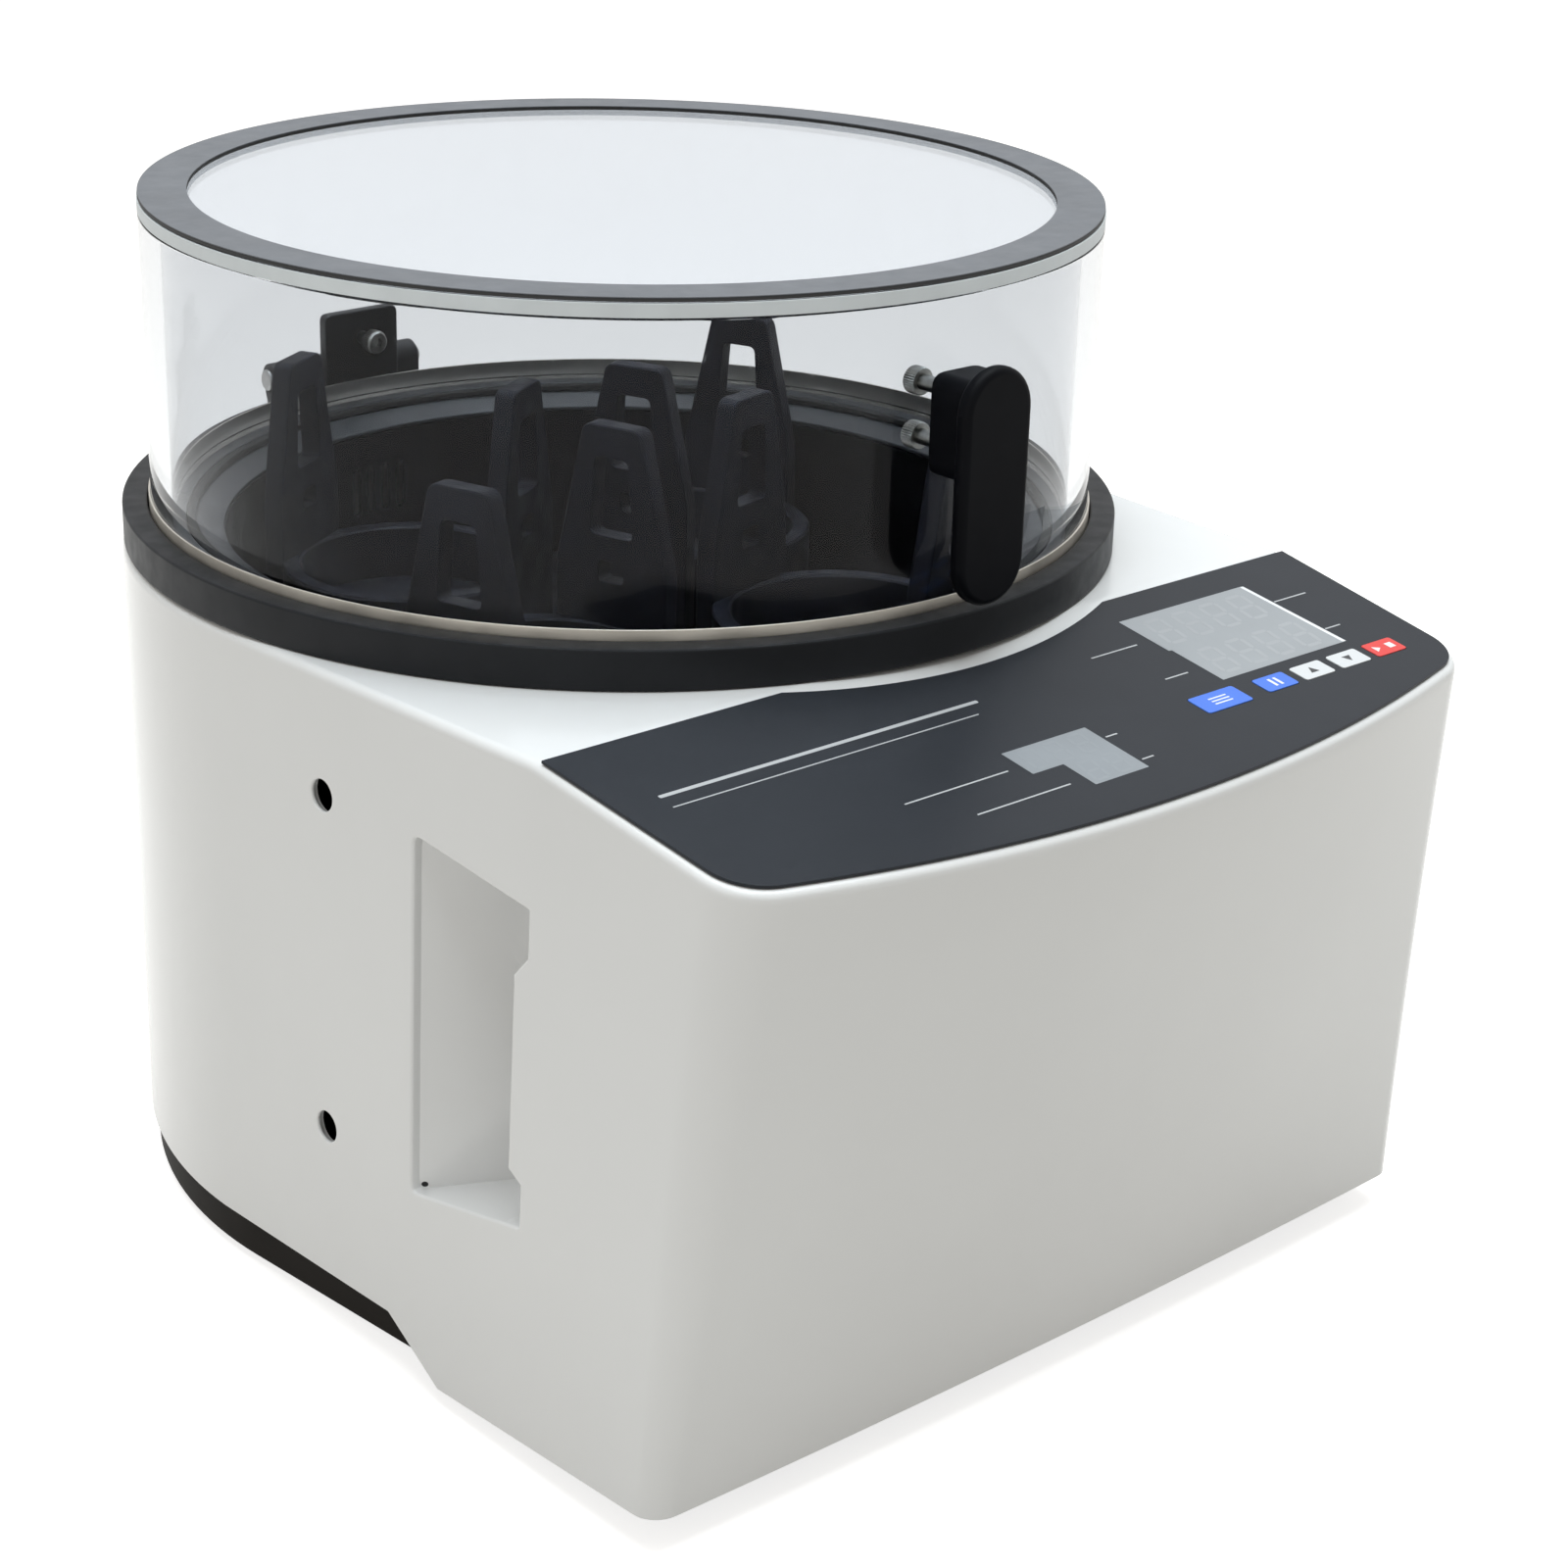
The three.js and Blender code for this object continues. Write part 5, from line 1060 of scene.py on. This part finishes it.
def inlet():
    """A flanged socket with a well for the rocker. The holes are cut from a solid block."""
    flange = facing_front(rectangle(-16.5, 16.5, 35.5, 88.5, 2.5), -173, -170.8, 0.5)
    body = facing_front(rectangle(-13.7, 13.7, 38.3, 85.7), -172, -149, 0.2)
    socket = softened([[-11, 44], [11, 44], [11, 56], [7, 60], [-7, 60], [-11, 56]], 1, 3)
    well = rectangle(-9.1, 9.1, 68.8, 83.2)
    cuts = [facing_front(socket, -180, -158, 0.01), facing_front(well, -180, -162.8, 0.01)]
    piece("inlet", flange, "casing", inlet_plastic, ["power_inlet"], cuts=cuts)
    piece("inlet_body", body, "casing", inlet_plastic, cuts=cuts)
    pins = [facing_front(rectangle(x - 1, x + 1, low, low + 4), -170, -157, 0.3)
            for x, low in ((-6, 50), (6, 50), (0, 46))]
    piece("inlet_pins", joined(pins), "casing", bright_steel)
    rocker = softened([[168.5, 70], [174.1, 70], [173, 76], [175.2, 82], [168.5, 82], [164, 76]], 0.6, 3)
    piece("rocker", moved(plate(rocker, -8.5, 8.5, 0.6), basis=ALONG_X), "power_switch", switch_plastic,
          ["power_switch"])


# Hidden drive

def refinished():
    """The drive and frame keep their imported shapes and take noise-based finishes."""
    finishes = {
        cut_steel: ["frame_plate", "front_left_post", "front_right_post", "rear_left_post", "rear_right_post",
                    "bearing_housing", "fixed_sun_gear", "main_shaft"]
        + [f"{kind}_gear_{k}" for kind in ("idler", "planet") for k in range(1, 5)],
        bright_steel: ["upper_bearing", "lower_bearing"],
        wheel_finish: ["main_pulley", "motor_pulley"],
        foot_rubber: ["drive_belt"],
        inlet_plastic: ["motor"],
        board_green: ["control_board"],
    }
    for material, names in finishes.items():
        for name in names:
            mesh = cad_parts[name].data
            mesh.materials.clear()
            mesh.materials.append(material)


casing()
base()
collar()
bowl()
lid()
handle()
knurled_screw("upper_screw", -1, 309.4, 167.5, 8, "upper_handle_screw")
knurled_screw("lower_screw", -1, 292.2, 167.5, 8, "lower_handle_screw")
knurled_screw("leaf_screw", 1, 260.4, 165.4, 0, "hinge_bolt")
hinge()
wheel()
for index, bearing in enumerate(STATION_BEARINGS):
    holder(index + 1, bearing, math.radians(STATION_TURNS[index]))
panel()
keys()
inlet()
refinished()


# Camera, light and floor
CAMERA_PLACE = (-0.6643, -0.7817, 0.5606)
CAMERA_AIM = (0.62067, 0.68760, -0.37680)
CAMERA_ROLL = math.radians(1.70)
CAMERA_LENS = 72.87
WHITE = (1, 1, 1, 1)
WORLD_TINT = (0.375, 0.362, 0.34, 1)
FLOOR_COLOUR = (0.66, 0.64, 0.61, 1)
FLOOR_GLOW = 0.77
FLOOR_LEVEL = -0.0005
FLOOR_REACH = 6
LIT_POINT = (0, 0, 0.2)


def stood(name, data, right, up, back, place):
    """A camera or lamp at a place in metres, with its three axes."""
    made = bpy.data.objects.new(name, data)
    bpy.context.scene.collection.objects.link(made)
    made.matrix_world = Matrix([*np.stack([right, up, back, place], -1).tolist(), [0, 0, 0, 1]])
    return made


def camera():
    """Looks along a bearing of 42.07 degrees from +Y toward +X, 22.14 degrees down, rolled 1.7 degrees."""
    ahead = unit(np.array(CAMERA_AIM))
    level = unit(np.array([ahead[1], -ahead[0], 0]))
    rise = np.cross(level, ahead)
    right = level * math.cos(CAMERA_ROLL) + rise * math.sin(CAMERA_ROLL)
    lens = bpy.data.cameras.new("camera")
    lens.sensor_width = 36
    lens.lens = CAMERA_LENS
    bpy.context.scene.camera = stood("camera", lens, right, np.cross(right, ahead), -ahead, CAMERA_PLACE)


def lamp(name, place, aim, size, power, colour):
    """A square area lamp that faces a point."""
    light = bpy.data.lights.new(name, "AREA")
    light.shape = "SQUARE"
    light.size = size
    light.energy = power
    light.color = colour
    back = unit(np.array(place, float) - np.array(aim, float))
    side = unit(np.cross([0, 0, 1], back))
    stood(name, light, side, np.cross(back, side), back, place)


def seen_directly(nodes, links):
    """One for rays from the camera, off gloss and through glass, and zero for the rest."""
    path = nodes.new("ShaderNodeLightPath")
    value = path.outputs["Is Camera Ray"]
    for ray in ("Is Glossy Ray", "Is Transmission Ray"):
        larger = nodes.new("ShaderNodeMath")
        larger.operation = "MAXIMUM"
        links.new(value, larger.inputs[0])
        links.new(path.outputs[ray], larger.inputs[1])
        value = larger.outputs[0]
    return value


def surroundings():
    """A white backdrop, dimmer and warmer where it lights the object, and a pale floor that keeps the
    shadow."""
    world = bpy.data.worlds.new("studio")
    bpy.context.scene.world = world
    world.use_nodes = True
    nodes, links = world.node_tree.nodes, world.node_tree.links
    tint = nodes.new("ShaderNodeMix")
    tint.data_type = "RGBA"
    tint.inputs["A"].default_value = WORLD_TINT
    tint.inputs["B"].default_value = WHITE
    links.new(seen_directly(nodes, links), tint.inputs["Factor"])
    links.new(tint.outputs["Result"], nodes["Background"].inputs["Color"])
    material, nodes, links, shader = blank("floor_paper")
    fill(shader, {"Base Color": FLOOR_COLOUR, "Roughness": 0.9, "Specular IOR Level": 0.1,
                  "Emission Color": WHITE})
    glow = remapped(nodes, links, seen_directly(nodes, links), 0, 1, 0, FLOOR_GLOW)
    links.new(glow.outputs["Result"], shader.inputs["Emission Strength"])
    mesh = bpy.data.meshes.new("floor")
    mesh.from_pydata([(x * FLOOR_REACH, y * FLOOR_REACH, FLOOR_LEVEL)
                      for x, y in ((-1, -1), (1, -1), (1, 1), (-1, 1))], [], [(0, 1, 2, 3)])
    floor = bpy.data.objects.new("floor", mesh)
    bpy.context.scene.collection.objects.link(floor)
    mesh.materials.append(material)


camera()
lamp("overhead", (0.05, 0.0, 1.8), LIT_POINT, 1.6, 35.5, (0.89, 0.96, 1.0))
lamp("left_fill", (-1.7, -0.6, 0.7), LIT_POINT, 1.2, 3.0, (1.0, 0.99, 0.97))
surroundings()
bpy.context.scene.view_settings.view_transform = "Standard"
